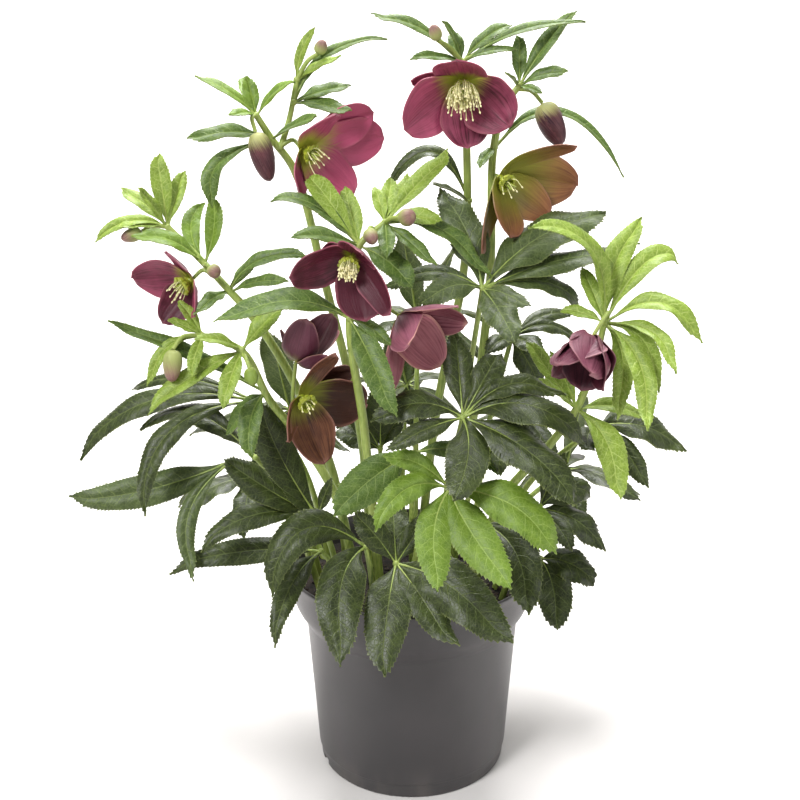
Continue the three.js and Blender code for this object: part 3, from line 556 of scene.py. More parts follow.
def leaf_finish(name, deep, light, vein, rough, net, side_vein):
    """Leaf skin: mottled green with a midrib, side veins, a fine net and pale tooth tips."""
    look = Finish(name)
    across, along, side = look.attribute("blade")
    share, tint, tooth = look.attribute("mark")
    far = abs(across)
    flat = look.place(across, along, tint * 60.0)

    rib = look.line(far + share * RIB_THINNING, *RIB_LINE)
    wander = (look.noise(flat, 0.11) - 0.5) * VEIN_WANDER
    run = along - far * (far * VEIN_BEND + VEIN_LEAN) + wander
    turns = run / VEIN_SPACING + look.math("SIGN", across) * VEIN_STAGGER
    away = abs(look.math("FRACT", turns) - 0.5) * VEIN_SPACING
    branch = look.line(away, *VEIN_LINE) * look.line(abs(side), *VEIN_ENDS)
    cells = look.node("TexVoronoi", {"Vector": flat, "Scale": NET_SCALE}, "Distance",
                      feature="DISTANCE_TO_EDGE")
    mesh = look.line(cells, *NET_LINE)

    patches = look.step(look.noise(flat, 0.16, 4.0), 0.3, 0.72)
    green = look.mix(patches, deep, light)
    green = look.mix(tint * 0.35, green, light)
    for lines, strength in ((mesh, net * 0.5), (branch, side_vein), (rib, 0.7)):
        green = look.mix(lines * strength, green, vein)
    tips = look.step(tooth, 0.3, 1.2) * look.step(share, 0.15, 0.4) * 0.5
    margin = look.step(abs(side), 0.96, 1.0) * 0.3
    green = look.mix(look.math("MAXIMUM", tips, margin), green, TOOTH_TIP)

    grain = look.noise(flat, 1.7) * 0.12
    look.bump(grain - (branch * 0.7 + mesh * 0.35 + rib), 0.0003)
    return look.finish(green, grain + (rough - 0.06), 0.36)


GREEN_HEART = (146, 156, 42)

# A row is: material, light tone, deep tone, rim, green base, strength of the streaks. The deep
# tone is mixed in by each sepal's depth, so it is partly the sepal's own colour and partly painted
# shade.
SEPAL_TONES = {
    "magenta": ("sepal_magenta", (172, 74, 106), (68, 16, 32), (162, 92, 106), GREEN_HEART, 0.75),
    "rose": ("sepal_rose", (166, 104, 112), (84, 30, 44), (188, 144, 128), GREEN_HEART, 0.95),
    "olive": ("sepal_olive", (142, 92, 60), (58, 30, 24), (152, 106, 94), (118, 122, 34), 0.9),
    "wine": ("sepal_wine", (112, 50, 64), (50, 10, 26), (138, 90, 98), GREEN_HEART, 0.6),
    "bud_large": (
        "bud_skin_plum", (126, 76, 78), (40, 14, 26), (116, 70, 74), (158, 160, 100), 1.0),
    "bud_small": (
        "bud_skin_pale", (152, 122, 108), (100, 56, 66), (162, 150, 112), (148, 158, 92), 1.0),
    "bud_green": (
        "bud_skin_green", (124, 142, 60), (100, 122, 44), (150, 162, 88), (136, 152, 66), 0.6),
    "back_magenta": (
        "sepal_back", (140, 82, 98), (84, 38, 54), (160, 112, 118), (118, 120, 56), 0.9),
    "back_olive": (
        "sepal_back_olive", (146, 100, 88), (90, 54, 52), (156, 120, 104), (124, 124, 60), 0.6),
}


def sepal_finish(name, light, deep, rim, heart, streak):
    """Sepal skin: streaks from the base, a green heart, a paler rim, and depth that is partly
    painted shade.
    """
    look = Finish(name)
    across, along, side = look.attribute("blade")
    share, tint, depth = look.attribute("mark")
    reach = look.attribute("heart")[0]
    far = abs(side)
    seed = tint * 50.0
    flat = look.place(across, along, seed)
    streaks = look.noise(look.place(side * 9.0, share * 0.9, seed), 1.8, 4.0, 0.62)
    lines = look.step(streaks, 0.42, 0.66) * streak
    clouds = look.step(look.noise(flat, 0.1), 0.3, 0.7)

    # A sepal's depth darkens it to the deep tone: partly its own colour, partly painted shade.
    darkness = look.math("MINIMUM", depth + clouds * 0.22 + lines * 0.4, 1.0)
    colour = look.mix(darkness, light, deep)
    edge = look.math("MAXIMUM", look.step(far, 0.86, 1.0), look.step(share, 0.93, 1.0))
    colour = look.mix(edge * 0.5, colour, rim)
    ragged = share + (streaks - 0.5) * 0.42 + far * 0.06
    base = look.line(ragged / reach, 0.35, 1.25)
    colour = look.mix(base * 0.92, colour, heart)

    grain = look.noise(flat, 1.3, 2.0) * 0.2
    look.bump(streaks * 0.9 + grain, 0.0005)
    return look.finish(colour, grain + 0.36, 0.3)


# A row is: material, two tones, how fine their patches are, roughness, relief in metres.
PART_TONES = {
    "soil": ("potting_mix", (20, 15, 12), (38, 28, 21), 180.0, 0.92, 0.0015),
    "crumb": ("bark_crumb", (36, 26, 19), (60, 44, 31), 300.0, 0.88, 0.0008),
    "filament": ("stamen", (210, 210, 146), (230, 227, 176), 500.0, 0.5, 0.0001),
    "anther": ("anther", (228, 220, 160), (243, 236, 194), 900.0, 0.6, 0.0002),
    "nectary": ("nectary", (134, 146, 34), (166, 172, 58), 400.0, 0.4, 0.0002),
    "carpel": ("carpel", (140, 156, 66), (172, 182, 92), 300.0, 0.45, 0.0002),
}


def part_finish(name, first, second, scale, rough, relief):
    """Small flower parts, crumbs and the like: two tones in fine patches."""
    look = Finish(name)
    place = look.object_place()
    colour = look.mix(look.step(look.noise(place, scale), 0.35, 0.65), first, second)
    fine = look.noise(place, scale * 6)
    look.bump(fine, relief, 0.7)
    return look.finish(colour, fine * 0.2 + (rough - 0.1), 0.5)


STALK_TONES = {"light": (148, 163, 82), "deep": (106, 128, 50), "blush": (122, 112, 62)}


def stalk_finish():
    """Fleshy stalk skin: streaks along it, and a little red in places."""
    look = Finish("stalk")
    place = look.object_place()
    streaks = look.noise(look.drawn_out(place, 0.12), 900.0)
    clouds = look.noise(place, 26.0)
    colour = look.mix(look.step(streaks, 0.35, 0.65), STALK_TONES["deep"], STALK_TONES["light"])
    colour = look.mix(look.step(clouds, 0.3, 0.8), colour, STALK_TONES["light"])
    colour = look.mix(look.step(clouds, 0.56, 0.75) * 0.35, colour, STALK_TONES["blush"])
    look.bump(streaks, 0.0003)
    return look.finish(colour, streaks * 0.15 + 0.38, 0.5)


POT_TONES = {"deep": (52, 50, 51), "light": (59, 56, 57), "dust": (104, 98, 92)}
DUST_LINE = (0.002, 0.03)


def pot_finish():
    """Moulded grey-black plastic: fine grain, faint flow marks and dust near the foot."""
    look = Finish("pot_plastic")
    place = look.object_place()
    clouds = look.step(look.noise(place, 14.0, 4.0), 0.3, 0.7)
    grain = look.noise(place, 2600.0, 2.0)
    flow = look.noise(look.drawn_out(place, 0.15), 60.0)
    dust = look.line(look.parts(place)[2], *DUST_LINE) * look.step(flow, 0.4, 0.7)
    colour = look.mix(clouds, POT_TONES["deep"], POT_TONES["light"])
    colour = look.mix(dust * 0.25, colour, POT_TONES["dust"])
    look.bump(grain * 0.5 + flow * 0.5, 0.0002, 0.35)
    return look.finish(colour, flow * 0.12 + 0.33, 0.5)


def make_finishes():
    """Every material of the plant, by a short name."""
    made = {"stalk": stalk_finish(), "pot": pot_finish()}
    rules = ((leaf_finish, LEAF_TONES), (sepal_finish, SEPAL_TONES), (part_finish, PART_TONES))
    for rule, tones in rules:
        made.update({key: rule(*row) for key, row in tones.items()})
    return made


FINISHES = make_finishes()
UNDER = {"dark": "under_dark", "soft": "under_dark", "medium": "under_light",
         "fresh": "under_light", "bright": "under_light"}
BACK = {"magenta": "back_magenta", "rose": "back_magenta", "olive": "back_olive",
        "wine": "back_magenta"}


# ---- meshes ----
WELD = 2e-6
DEGENERATE = 1e-7
SHARP = math.radians(55)
SPIKE_LIMIT = 1.4
# What a vertex holds where no pattern follows the surface.
NO_PATTERN = Vector((0, 0, 0))


def faces_of(made):
    """The faces that an operator has just made, in the order of their corners."""
    return list(dict.fromkeys(face for vert in made["verts"] for face in vert.link_faces))


class Surface:
    """A mesh in the making, with the values that its patterns follow.

    blade holds the place across and along a blade in millimetres, and its side from -1 to 1.
    mark holds the share of the blade's length, a tint that varies by blade, and the tooth of a
    leaflet or the depth of a sepal's colour, which is partly painted shade. heart holds how far a
    sepal's green base reaches.
    """

    def __init__(self):
        self.mesh = bmesh.new()
        self.heart = 1.0
        for name in ("blade", "mark"):
            self.mesh.verts.layers.float_vector.new(name)
        self.find_layers()

    def find_layers(self):
        """Finds the layers again, because adding or removing one moves them all."""
        layers = self.mesh.verts.layers.float_vector
        self.blade = layers["blade"]
        self.mark = layers["mark"]

    def grid(self, columns, rows, place, material):
        """Adds a grid whose every vertex is moved by place(side, row)."""
        made = bmesh.ops.create_grid(self.mesh, x_segments=columns, y_segments=rows, size=1)
        for vert in made["verts"]:
            side, row = vert.co.x, round((vert.co.y + 1) / 2 * rows)
            vert.co, vert[self.blade], vert[self.mark] = place(side, row)
        for face in faces_of(made):
            face.material_index = material

    def tube(self, route, radii, sides, material):
        """Adds a tube with closed ends along a route, with a radius at each point of it."""
        ends = [route[0], *route, route[-1]]
        widths = [0.0, *radii, 0.0]
        frames = ring_frames(route)
        frames = [frames[0], *frames, frames[-1]]
        last = len(ends) - 1

        def place(side, row):
            turn = math.pi * side
            out, over = frames[row]
            reach = widths[row]
            spot = ends[row] + out * math.cos(turn) * reach + over * math.sin(turn) * reach
            return spot, NO_PATTERN, NO_PATTERN

        self.grid(sides, last, place, material)

    def ball(self, centre, radius, material):
        """Adds a small round joint."""
        made = bmesh.ops.create_icosphere(
            self.mesh, subdivisions=2, radius=radius, matrix=Matrix.Translation(centre))
        for face in faces_of(made):
            face.material_index = material

    def thicken(self, thickness, back):
        """Gives all the open blades so far a back face, in a material of its own."""
        bmesh.ops.remove_doubles(self.mesh, verts=self.mesh.verts, dist=WELD)
        layers = self.mesh.verts.layers.float_vector
        home = layers.new("home")
        for vert in self.mesh.verts:
            vert[home] = vert.co
        made = bmesh.ops.solidify(self.mesh, geom=self.mesh.faces[:], thickness=thickness)
        for item in made["geom"]:
            if isinstance(item, bmesh.types.BMFace):
                item.material_index = back
        for vert in self.mesh.verts:
            moved = vert.co - vert[home]
            if moved.length > thickness * SPIKE_LIMIT:
                vert.co = vert[home] + moved.normalized() * thickness * SPIKE_LIMIT
        layers.remove(home)
        self.find_layers()

    def finish(self, node, materials, slot):
        """Turns the mesh into the piece that stands for a node."""
        name = node + "_fine"
        mesh = self.mesh
        bmesh.ops.remove_doubles(mesh, verts=mesh.verts, dist=WELD)
        bmesh.ops.dissolve_degenerate(mesh, edges=mesh.edges, dist=DEGENERATE)
        for face in mesh.faces:
            face.smooth = True
        for edge in mesh.edges:
            if len(edge.link_faces) == 2 and edge.calc_face_angle(0) > SHARP:
                edge.smooth = False
        heart = mesh.verts.layers.float_vector.new("heart")
        for vert in mesh.verts:
            vert[heart] = Vector((self.heart, 0, 0))
        data = bpy.data.meshes.new(name)
        mesh.to_mesh(data)
        mesh.free()
        for material in materials:
            data.materials.append(FINISHES[material])
        piece = bpy.data.objects.new(name, data)
        bpy.context.scene.collection.objects.link(piece)
        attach(piece, "root")
        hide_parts(node)


def ring_frames(route):
    """Two directions square to the route at each of its points, without sudden turns."""
    frames = []
    out = None
    for index, point in enumerate(route):
        after = route[min(index + 1, len(route) - 1)]
        before = route[max(index - 1, 0)]
        along = (after - before).normalized()
        if out is None:
            out = along.orthogonal().normalized()
        out = (out - along * out.dot(along)).normalized()
        frames.append((out, along.cross(out)))
    return frames


def smooth_route(points, steps=8):
    """Points along a centripetal Catmull-Rom curve through the given points."""
    ends = [2 * points[0] - points[1], *points, 2 * points[-1] - points[-2]]
    route = []
    for a, b, c, d in zip(ends, ends[1:], ends[2:], ends[3:]):
        t1 = (b - a).length ** 0.5
        t2 = t1 + (c - b).length ** 0.5
        t3 = t2 + (d - c).length ** 0.5
        for step in range(steps):
            t = t1 + (t2 - t1) * step / steps
            ab = a.lerp(b, t / t1)
            bc = b.lerp(c, (t - t1) / (t2 - t1))
            cd = c.lerp(d, (t - t2) / (t3 - t2))
            abc = ab.lerp(bc, t / t2)
            bcd = bc.lerp(cd, (t - t1) / (t3 - t1))
            route.append(abc.lerp(bcd, (t - t1) / (t2 - t1)))
    return [*route, points[-1]]


def taper(route, shape):
    """A radius for each point of a route, from its foot to its top."""
    last = len(route) - 1
    return [MM * (shape["foot"] + (shape["top"] - shape["foot"]) * i / last)
            for i in range(last + 1)]


TWIST_CENTRE = 0.2


class Ridge:
    """The bent middle line of a blade, with the directions across it and out of its face."""

    def __init__(self, root, tip, bend, facing, rows, twist=0.0):
        middle = (root + tip) / 2 + bend * 2
        self.rows = rows
        self.points = []
        self.across = []
        self.normals = []
        self.tangents = []
        self.runs = [0.0]
        for row in range(rows + 1):
            t = row / rows
            point = root.lerp(middle, t).lerp(middle.lerp(tip, t), t)
            along = (middle - root).lerp(tip - middle, t).normalized()
            across = along.cross(facing).normalized()
            normal = across.cross(along)
            turn = twist * (t - TWIST_CENTRE)
            turned = across * math.cos(turn) + normal * math.sin(turn)
            self.points.append(point)
            self.tangents.append(along)
            self.across.append(turned)
            self.normals.append(turned.cross(along))
            if row:
                self.runs.append(self.runs[-1] + (point - self.points[row - 1]).length / MM)

    def spot(self, row, across, height, forward=0.0):
        """The place so many millimetres across, above and along from a point of the ridge."""
        spot = self.points[row] + self.across[row] * across * MM
        return spot + self.normals[row] * height * MM + self.tangents[row] * forward * MM


# ---- leaflets and bracts ----
# A pair is the range that each blade draws its own value from.
TWIST = (-0.4, 0.4)
WAVES = (1.6, 3.2)
WAVE_HEIGHT = (0.02, 0.08)
BLADE_CUP = (0.05, 0.16)
TIP_CURL = (-0.05, 0.07)
TOOTH_GROWTH = (0.45, 1.15)

# Places along a blade are shares of its length.
CURL_START = 0.8
TIP_SWEEP = 0.05
TIP_LENGTH = 0.1
NECK_END = 0.34
NECK_SHARE = 0.3
TOOTH_START = 0.12
TOOTH_FULL = 0.4
TOOTH_END = 0.97
TOOTH_LEAN = 1.2
FEWEST_TEETH = 5
NECK = 0.8
PUCKER = 0.22
GROOVE = 0.6

# How leaflets and bracts differ. late puts the widest place past the middle where it is above 1,
# and a tooth stands out by its even size and by a share of the blade's width.
LEAFLET = {"late": (0.92, 1.08), "tooth": 0.52, "tooth_share": 0.022, "blunt": 0.76}
BRACT = {"late": (1.05, 1.3), "tooth": 0.34, "tooth_share": 0.018, "blunt": 0.62}
BROAD = 19
BROAD_BLUNT = 0.62
FINE_WIDTH = 12


def leaf_share(t, late, blunt):
    """Half width of a leaflet as a share of its widest, narrowed to a neck at its base.

    A smaller blunt rounds the tip.
    """
    body = math.sin(math.pi * t ** late) ** blunt if 0 < t < 1 else 0.0
    point = math.sqrt(min(1.0, (1 - t) / TIP_LENGTH))
    return body * point * (NECK_SHARE + (1 - NECK_SHARE) * smooth_step(0.0, NECK_END, t))


def add_leaf_blade(surface, hub, row, facing, fold, material, rng):
    """One toothed leaflet: a grid bent along its midrib, puckered between its veins."""
    *tip, width, rise, lean = row
    root = at(hub)
    end = at(tip)
    length = (end - root).length / MM
    teeth = max(FEWEST_TEETH, round(length / TOOTH_SPACING))
    rows = teeth * TOOTH_STEPS
    columns = 12 if width > FINE_WIDTH else 8
    bend = at((lean, 0, rise))
    ridge = Ridge(root, end, bend, Vector(facing).normalized(), rows, rng.uniform(*TWIST))
    tint = rng.random()
    phase = rng.uniform(0, math.tau)
    waves = rng.uniform(*WAVES)
    wave = rng.uniform(*WAVE_HEIGHT) * width
    cup = rng.uniform(*BLADE_CUP)
    hook = rng.uniform(*TIP_CURL) * length
    sizes = [[rng.uniform(*TOOTH_GROWTH) for _ in range(teeth + 1)] for _ in range(2)]
    form = BRACT if fold > 0 else LEAFLET
    late = rng.uniform(*form["late"])
    tooth_size = form["tooth"] + form["tooth_share"] * width
    blunt = BROAD_BLUNT if width > BROAD else form["blunt"]

    def tooth_at(side, t, row):
        """How far a tooth stands out here, from 0 between two teeth and inside the edge."""
        if abs(side) < 0.99 or not TOOTH_START < t < TOOTH_END:
            return 0.0
        size = sizes[int(side > 0)][row // TOOTH_STEPS] * smooth_step(TOOTH_START, TOOTH_FULL, t)
        return (row % TOOTH_STEPS) / (TOOTH_STEPS - 1) * size

    def place(side, row):
        t = row / rows
        far = abs(side)
        narrowest = NECK * (1 - smooth_step(0.7, 1.0, t))
        half = max(leaf_share(t, late, blunt) * width / 2, narrowest)
        tooth = tooth_at(side, t, row)
        across = side * half + math.copysign(tooth * tooth_size, side)
        run = ridge.runs[row]
        pucker = abs(math.sin(math.pi * (run - 0.8 * abs(across)) / VEIN_SPACING))
        height = fold * half * far ** 1.3 + cup * half * math.sin(math.pi * min(1.0, far * 0.95))
        height += PUCKER * pucker * smooth_step(0.05, 0.4, far) * (1 - smooth_step(0.8, 1, far))
        height += wave * far ** 2 * math.sin(waves * math.tau * t + phase + side * 0.9)
        height -= GROOVE * math.exp(-across ** 2) * (1 - t)
        curl = smooth_step(CURL_START, 1.0, t) ** 2
        aside = across + math.cos(phase) * TIP_SWEEP * length * curl
        forward = tooth * tooth_size * TOOTH_LEAN
        spot = ridge.spot(row, aside, height + hook * curl, forward)
        return spot, Vector((across, run, side)), Vector((t, tint, tooth))

    surface.grid(columns, rows, place, material)
    return ridge, length


RIB = {"reach": 0.86, "rings": 9, "sides": 8, "radius": 0.95, "end": 0.12, "full_length": 60}


def add_rib(surface, ridge, length, material):
    """The round midrib that stands out of a leaflet's underside."""
    full = RIB["radius"] * min(1.0, length / RIB["full_length"])
    route = []
    radii = []
    for i in range(RIB["rings"]):
        share = RIB["reach"] * i / (RIB["rings"] - 1)
        row = round(share * ridge.rows)
        radius = full * (1 - share) ** 1.1 + RIB["end"]
        sink = LEAF_THICKNESS + radius * 0.35 if i else 0
        route.append(ridge.spot(row, 0, -sink))
        radii.append(radius * MM)
    surface.tube(route, radii, RIB["sides"], material)


HUB_RADIUS = 2.2


def leaf_piece(name, stalks, sprays, slot, rng):
    """One leaf or leafy stem: its blades with their backs, then its stalks, ribs and joints.

    stalks are (route, shape) pairs, and sprays are (hub, tone, facing, fold, rows).
    """
    surface = Surface()
    tones = sorted({tone for _, tone, _, _, _ in sprays})
    materials = [*tones, UNDER[tones[0]], "stalk"]
    under, stalk = len(tones), len(tones) + 1
    ribs = []
    for hub, tone, facing, fold, rows in sprays:
        for row in rows:
            found = add_leaf_blade(surface, hub, row, facing, fold, tones.index(tone), rng)
            ribs.append(found)
    surface.thicken(LEAF_THICKNESS * MM, under)
    for ridge, length in ribs:
        add_rib(surface, ridge, length, stalk)
    for route, shape in stalks:
        surface.tube(route, taper(route, shape), shape["sides"], stalk)
    for hub, *_ in sprays:
        surface.ball(at(hub), HUB_RADIUS * MM, stalk)
    surface.finish(name, materials, slot)


SLOTS = {"dark": "leaf_dark", "soft": "leaf_dark", "medium": "leaf_medium", "fresh": "leaf_bright"}


def make_leaf(leaf, rng):
    foot = (*leaf.foot, HOLE_FLOOR)
    middle = (
        foot[0] + (leaf.hub[0] - foot[0]) * STALK_MIDDLE["along"],
        foot[1] + (leaf.hub[1] - foot[1]) * STALK_MIDDLE["along"],
        SOIL_TOP + (leaf.hub[2] - SOIL_TOP) * STALK_MIDDLE["up"],
    )
    route = smooth_route([at(foot), at(middle), at(leaf.hub)])
    sprays = [(leaf.hub, leaf.tone, leaf.face, LEAF_FOLD, leaf.blades)]
    leaf_piece(leaf.name, [(route, LEAF_STALK)], sprays, SLOTS[leaf.tone], rng)


def fan_row(leaf, angle):
    """One leaflet of a leaf whose leaflets fan out round its hub by a rule."""
    heading = math.radians(leaf.aim + angle)
    length = leaf.reach * (1 - FAN["shorter"] * abs(angle) / FAN["widest"])
    wave = FAN_DROP["wave"] * math.cos(math.radians(angle * FAN_DROP["waves"]))
    return (
        leaf.hub[0] + length * math.cos(heading),
        leaf.hub[1] + length * math.sin(heading),
        leaf.hub[2] - leaf.drop * (FAN_DROP["even"] + wave),
        FAN["width"] * length / leaf.reach,
        FAN["rise"] * length,
        0,
    )


def make_back_leaf(leaf, rng):
    rows = [*(fan_row(leaf, angle) for angle in FAN["angles"]), *leaf.inner]
    make_leaf(Leaf(leaf.name, leaf.foot, leaf.hub, (0, 0, 1), "dark", rows), rng)


# ---- flower stems ----
def seat_of(carried):
    """Where a flower stalk ends: just inside the back of the bloom or bud that it carries."""
    for bloom in BLOOMS:
        if bloom.name == carried:
            return at(bloom.heart) - Vector(bloom.facing).normalized() * (BLOOM_CORE - 1) * MM
    bud = next(bud for bud in BUDS if bud.name == carried)
    return at(bud.start)


def make_stem(stem, rng):
    stalks = [(smooth_route([at((*stem.foot, HOLE_FLOOR)), *map(at, stem.route)]), STEM)]
    stalks += [(smooth_route([at(point) for point in points]), BRANCH) for points in stem.branches]
    for start, over, carried in stem.stalks:
        stalks.append((smooth_route([at(start), at(over), seat_of(carried)]), FLOWER_STALK))
    sprays = [(hub, tone, UPWARD, BRACT_FOLD, rows) for hub, tone, rows in stem.sprays]
    leaf_piece(stem.name, stalks, sprays, "stem_and_bract", rng)


# ---- blooms ----
SEPAL_GRID = {"rows": 30, "columns": 20}
SEPAL_WIDEST = 0.56
SEPAL_BASE = 0.32
SEPAL_EDGE = 0.112
SEPAL_WAVE = (0.025, 0.05)
SEPAL_SWELL = 1.2
SEPAL_GROOVE = 0.5
GROOVE_WIDTH = 1.6
SEPAL_PLEAT = 0.12
DRIFT = 50
HEART_RADIUS = 2.4


def sepal_share(t):
    """Half width of a sepal as a share of its widest: a narrow base and a broad, blunt end."""
    if t < SEPAL_WIDEST:
        return SEPAL_BASE + (1 - SEPAL_BASE) * math.sin(math.pi / 2 * t / SEPAL_WIDEST)
    return math.sqrt(max(0.0, 1 - ((t - SEPAL_WIDEST) / (1 - SEPAL_WIDEST)) ** 2.3))


def add_sepal(surface, bloom, row, depth, cup, rng):
    """One broad sepal, cupped and a little wavy, with an uneven edge."""
    *tip, width, bulge = row
    way = Vector(bloom.facing).normalized()
    rows = SEPAL_GRID["rows"]
    ridge = Ridge(at(bloom.heart), at(tip), way * -bulge * MM, way, rows)
    tint = rng.random()
    phase = rng.uniform(0, math.tau)
    wave = rng.uniform(*SEPAL_WAVE) * width
    drift = Vector((rng.uniform(0, DRIFT), rng.uniform(0, DRIFT), 0))

    def place(side, row):
        t = row / rows
        far = abs(side)
        ragged = noise.noise(drift + Vector((side * 1.6, t * 3.2, 0)))
        half = sepal_share(t) * width / 2
        half *= 1 + SEPAL_EDGE * ragged * smooth_step(0.2, 0.5, t)
        across = side * half
        past_base = smooth_step(0.1, 0.5, t)
        swell = noise.noise(drift + Vector((side * 1.2, t * 2.0, 7)))
        height = half * (SEPAL_FOLD * far ** 1.5 + SEPAL_ROLL * side)
        height += cup * half * far ** 2 * math.sin(math.pi * t)
        height += wave * far ** 3 * math.sin(6 * t + phase + side * 2)
        height += SEPAL_SWELL * swell * past_base
        height -= SEPAL_GROOVE * math.exp(-(across / GROOVE_WIDTH) ** 2) * smooth_step(0, 0.2, t)
        height += SEPAL_PLEAT * math.sin(side * 22 + phase) * smooth_step(0.1, 0.4, t) * (1 - far)
        blade = Vector((across, ridge.runs[row], side))
        return ridge.spot(row, across, height), blade, Vector((t, tint, depth))

    surface.grid(SEPAL_GRID["columns"], rows, place, 0)


# stamens is how many a bloom holds and size their length as a share of the longest. The next five
# figures are how dark each sepal is drawn: partly the sepal's own deeper colour and partly painted
# shade on sepals that turn from the light or lie in the shadowed inside of the bloom. green is how
# far their green base reaches as a share of their length, and cup how much they are cupped.
BloomLook = namedtuple("BloomLook", "stamens size depths green cup")
BLOOM_LOOKS = {
    "bloom_left_tall": BloomLook(10, 0.85, (-0.4, -0.35, -0.2, 0, 0.1), 0.46, 0.16),
    "bloom_middle_tall": BloomLook(90, 1.1, (0.1, 0.5, 0.55, 0.3, 0.2), 0.38, 0.16),
    "bloom_middle_olive": BloomLook(5, 0.8, (0, 0, 0.2, 0.2, 0), 0.8, 0.16),
    "bloom_front": BloomLook(90, 0.6, (0.75, 0.95, 0.95, 0.65, 0.6), 0.16, 0.16),
    "bloom_front_rose": BloomLook(5, 0.5, (0.6, 0.05, 0.1, 0.1, 0.1), 0.2, 0.25),
    "bloom_far_left": BloomLook(12, 0.75, (0.4, 0.8, 0.35, 0.4, 0.3), 0.3, 0.2),
    "bloom_back_view": BloomLook(5, 0.5, (0.7, 0.7, 0.8, 0.7, 0.8), 0.42, 0.3),
    "bloom_low_olive": BloomLook(5, 0.5, (0.5, 0.9, 0.4, 0.6, 0.9), 0.42, 0.2),
    "bloom_right": BloomLook(8, 0.45, (0.55, 0.4, 0.65, 0.75, 0.55), 0.1, 0.3),
}


def make_sepals(bloom, rng):
    surface = Surface()
    look = BLOOM_LOOKS[bloom.name]
    surface.heart = look.green
    # Each sepal is darkened by its depth: partly its own deeper colour, partly painted shade.
    for row, depth in zip(bloom.sepals, look.depths):
        add_sepal(surface, bloom, row, depth, look.cup, rng)
    surface.thicken(SEPAL_THICKNESS * MM, 1)
    surface.ball(at(bloom.heart), HEART_RADIUS * MM, 2)
    materials = [bloom.tone, BACK[bloom.tone], "nectary"]
    surface.finish(bloom.name, materials, "sepal_" + bloom.tone)


GOLDEN_TURN = 2.39996
SEAT_RADIUS = 2.7
CENTRE_PARTS = ("filament", "anther", "nectary", "carpel")

# A profile is (share of the length, share of the radius) from the foot to the tip, and a
# carpel's has its radius in millimetres. A pair in STAMEN is the value of the innermost stamen and
# what is added to it at the outermost.
NECTARY = {"count": 12, "length": 5.0, "radius": 1.35, "sides": 8, "lean": 1.3, "curl": 0.65}
NECTARY_PROFILE = ((0, 0.4), (0.3, 0.6), (0.6, 0.9), (0.85, 1.1), (1, 1.15), (1.04, 0.9),
                   (0.85, 0.6))
CARPEL = {"count": 4, "length": 12.5, "sides": 7, "lean": 0.2, "turned": 0.4}
CARPEL_PROFILE = ((0, 0.9), (0.2, 1.5), (0.4, 1.0), (0.7, 0.4), (1, 0.3))
STAMEN = {"length": 11.5, "longer": 5.5, "radius": 0.24, "sides": 5, "droop": 0.45,
          "spread": (0.1, 0.62), "reach": (0.7, 0.4), "foot": 1.5}
ANTHER = {"length": 1.6, "radius": 0.55, "sides": 6}
ANTHER_PROFILE = ((0, 0.4), (0.25, 1.0), (0.6, 0.95), (1.0, 0.35))


class Centre:
    """The middle of a bloom, with headings round the way that it faces."""

    def __init__(self, bloom, rng):
        self.surface = Surface()
        self.rng = rng
        self.way = Vector(bloom.facing).normalized()
        self.seat = at(bloom.heart) + self.way * BLOOM_CORE * MM
        self.side = Vector((0, 0, 1)).cross(self.way).normalized()
        self.over = self.way.cross(self.side)

    def heading(self, turn, spread):
        out = self.side * math.cos(turn) + self.over * math.sin(turn)
        return self.way * math.cos(spread) + out * math.sin(spread)

    def tube(self, route, radii, sides, part):
        radii = [radius * MM for radius in radii]
        self.surface.tube(route, radii, sides, CENTRE_PARTS.index(part))

    def add_nectary(self, index):
        """A small tube that curls inwards, with a cupped tip."""
        turn = math.tau * index / NECTARY["count"] + self.rng.uniform(-0.1, 0.1)
        start = self.seat + self.heading(turn, 1.35) * 2.0 * MM
        reach = NECTARY["length"] * self.rng.uniform(0.85, 1.1) * MM
        route = [
            start + self.heading(turn, NECTARY["lean"] - NECTARY["curl"] * share) * reach * share
            for share, _ in NECTARY_PROFILE]
        radii = [NECTARY["radius"] * wide for _, wide in NECTARY_PROFILE]
        self.tube(route, radii, NECTARY["sides"], "nectary")

    def add_stamen(self, index, count, size):
        """A thread that leans out and then falls a little, with its anther on the end."""
        rng = self.rng
        ring = (index + 0.5) / count
        turn = index * GOLDEN_TURN + rng.uniform(-0.15, 0.15)
        spread, reach = (least + more * ring for least, more in (STAMEN["spread"], STAMEN["reach"]))
        half = (STAMEN["length"] * reach + STAMEN["longer"] * rng.random()) * size * MM * 0.5
        start = self.seat + self.heading(turn, spread) * STAMEN["foot"] * MM
        knee = start + self.heading(turn, spread + 0.2) * half
        drop = self.heading(turn, spread * 0.5 + rng.uniform(-0.12, 0.12))
        drop = (drop + Vector((0, 0, -1)) * STAMEN["droop"]).normalized()
        end = knee + drop * half
        route = smooth_route([start, knee, end], 3)
        self.tube(route, [STAMEN["radius"]] * len(route), STAMEN["sides"], "filament")
        tip = end + (end - knee).normalized() * ANTHER["length"] * MM
        pod = [end.lerp(tip, share) for share, _ in ANTHER_PROFILE]
        radii = [ANTHER["radius"] * wide for _, wide in ANTHER_PROFILE]
        self.tube(pod, radii, ANTHER["sides"], "anther")

    def add_carpel(self, index, size):
        """One of the swollen seed vessels in the middle, drawn out into a thin style."""
        turn = math.tau * index / CARPEL["count"] + CARPEL["turned"]
        way = self.heading(turn, CARPEL["lean"])
        route = [self.seat + way * share * size * CARPEL["length"] * MM
                 for share, _ in CARPEL_PROFILE]
        self.tube(route, [wide for _, wide in CARPEL_PROFILE], CARPEL["sides"], "carpel")


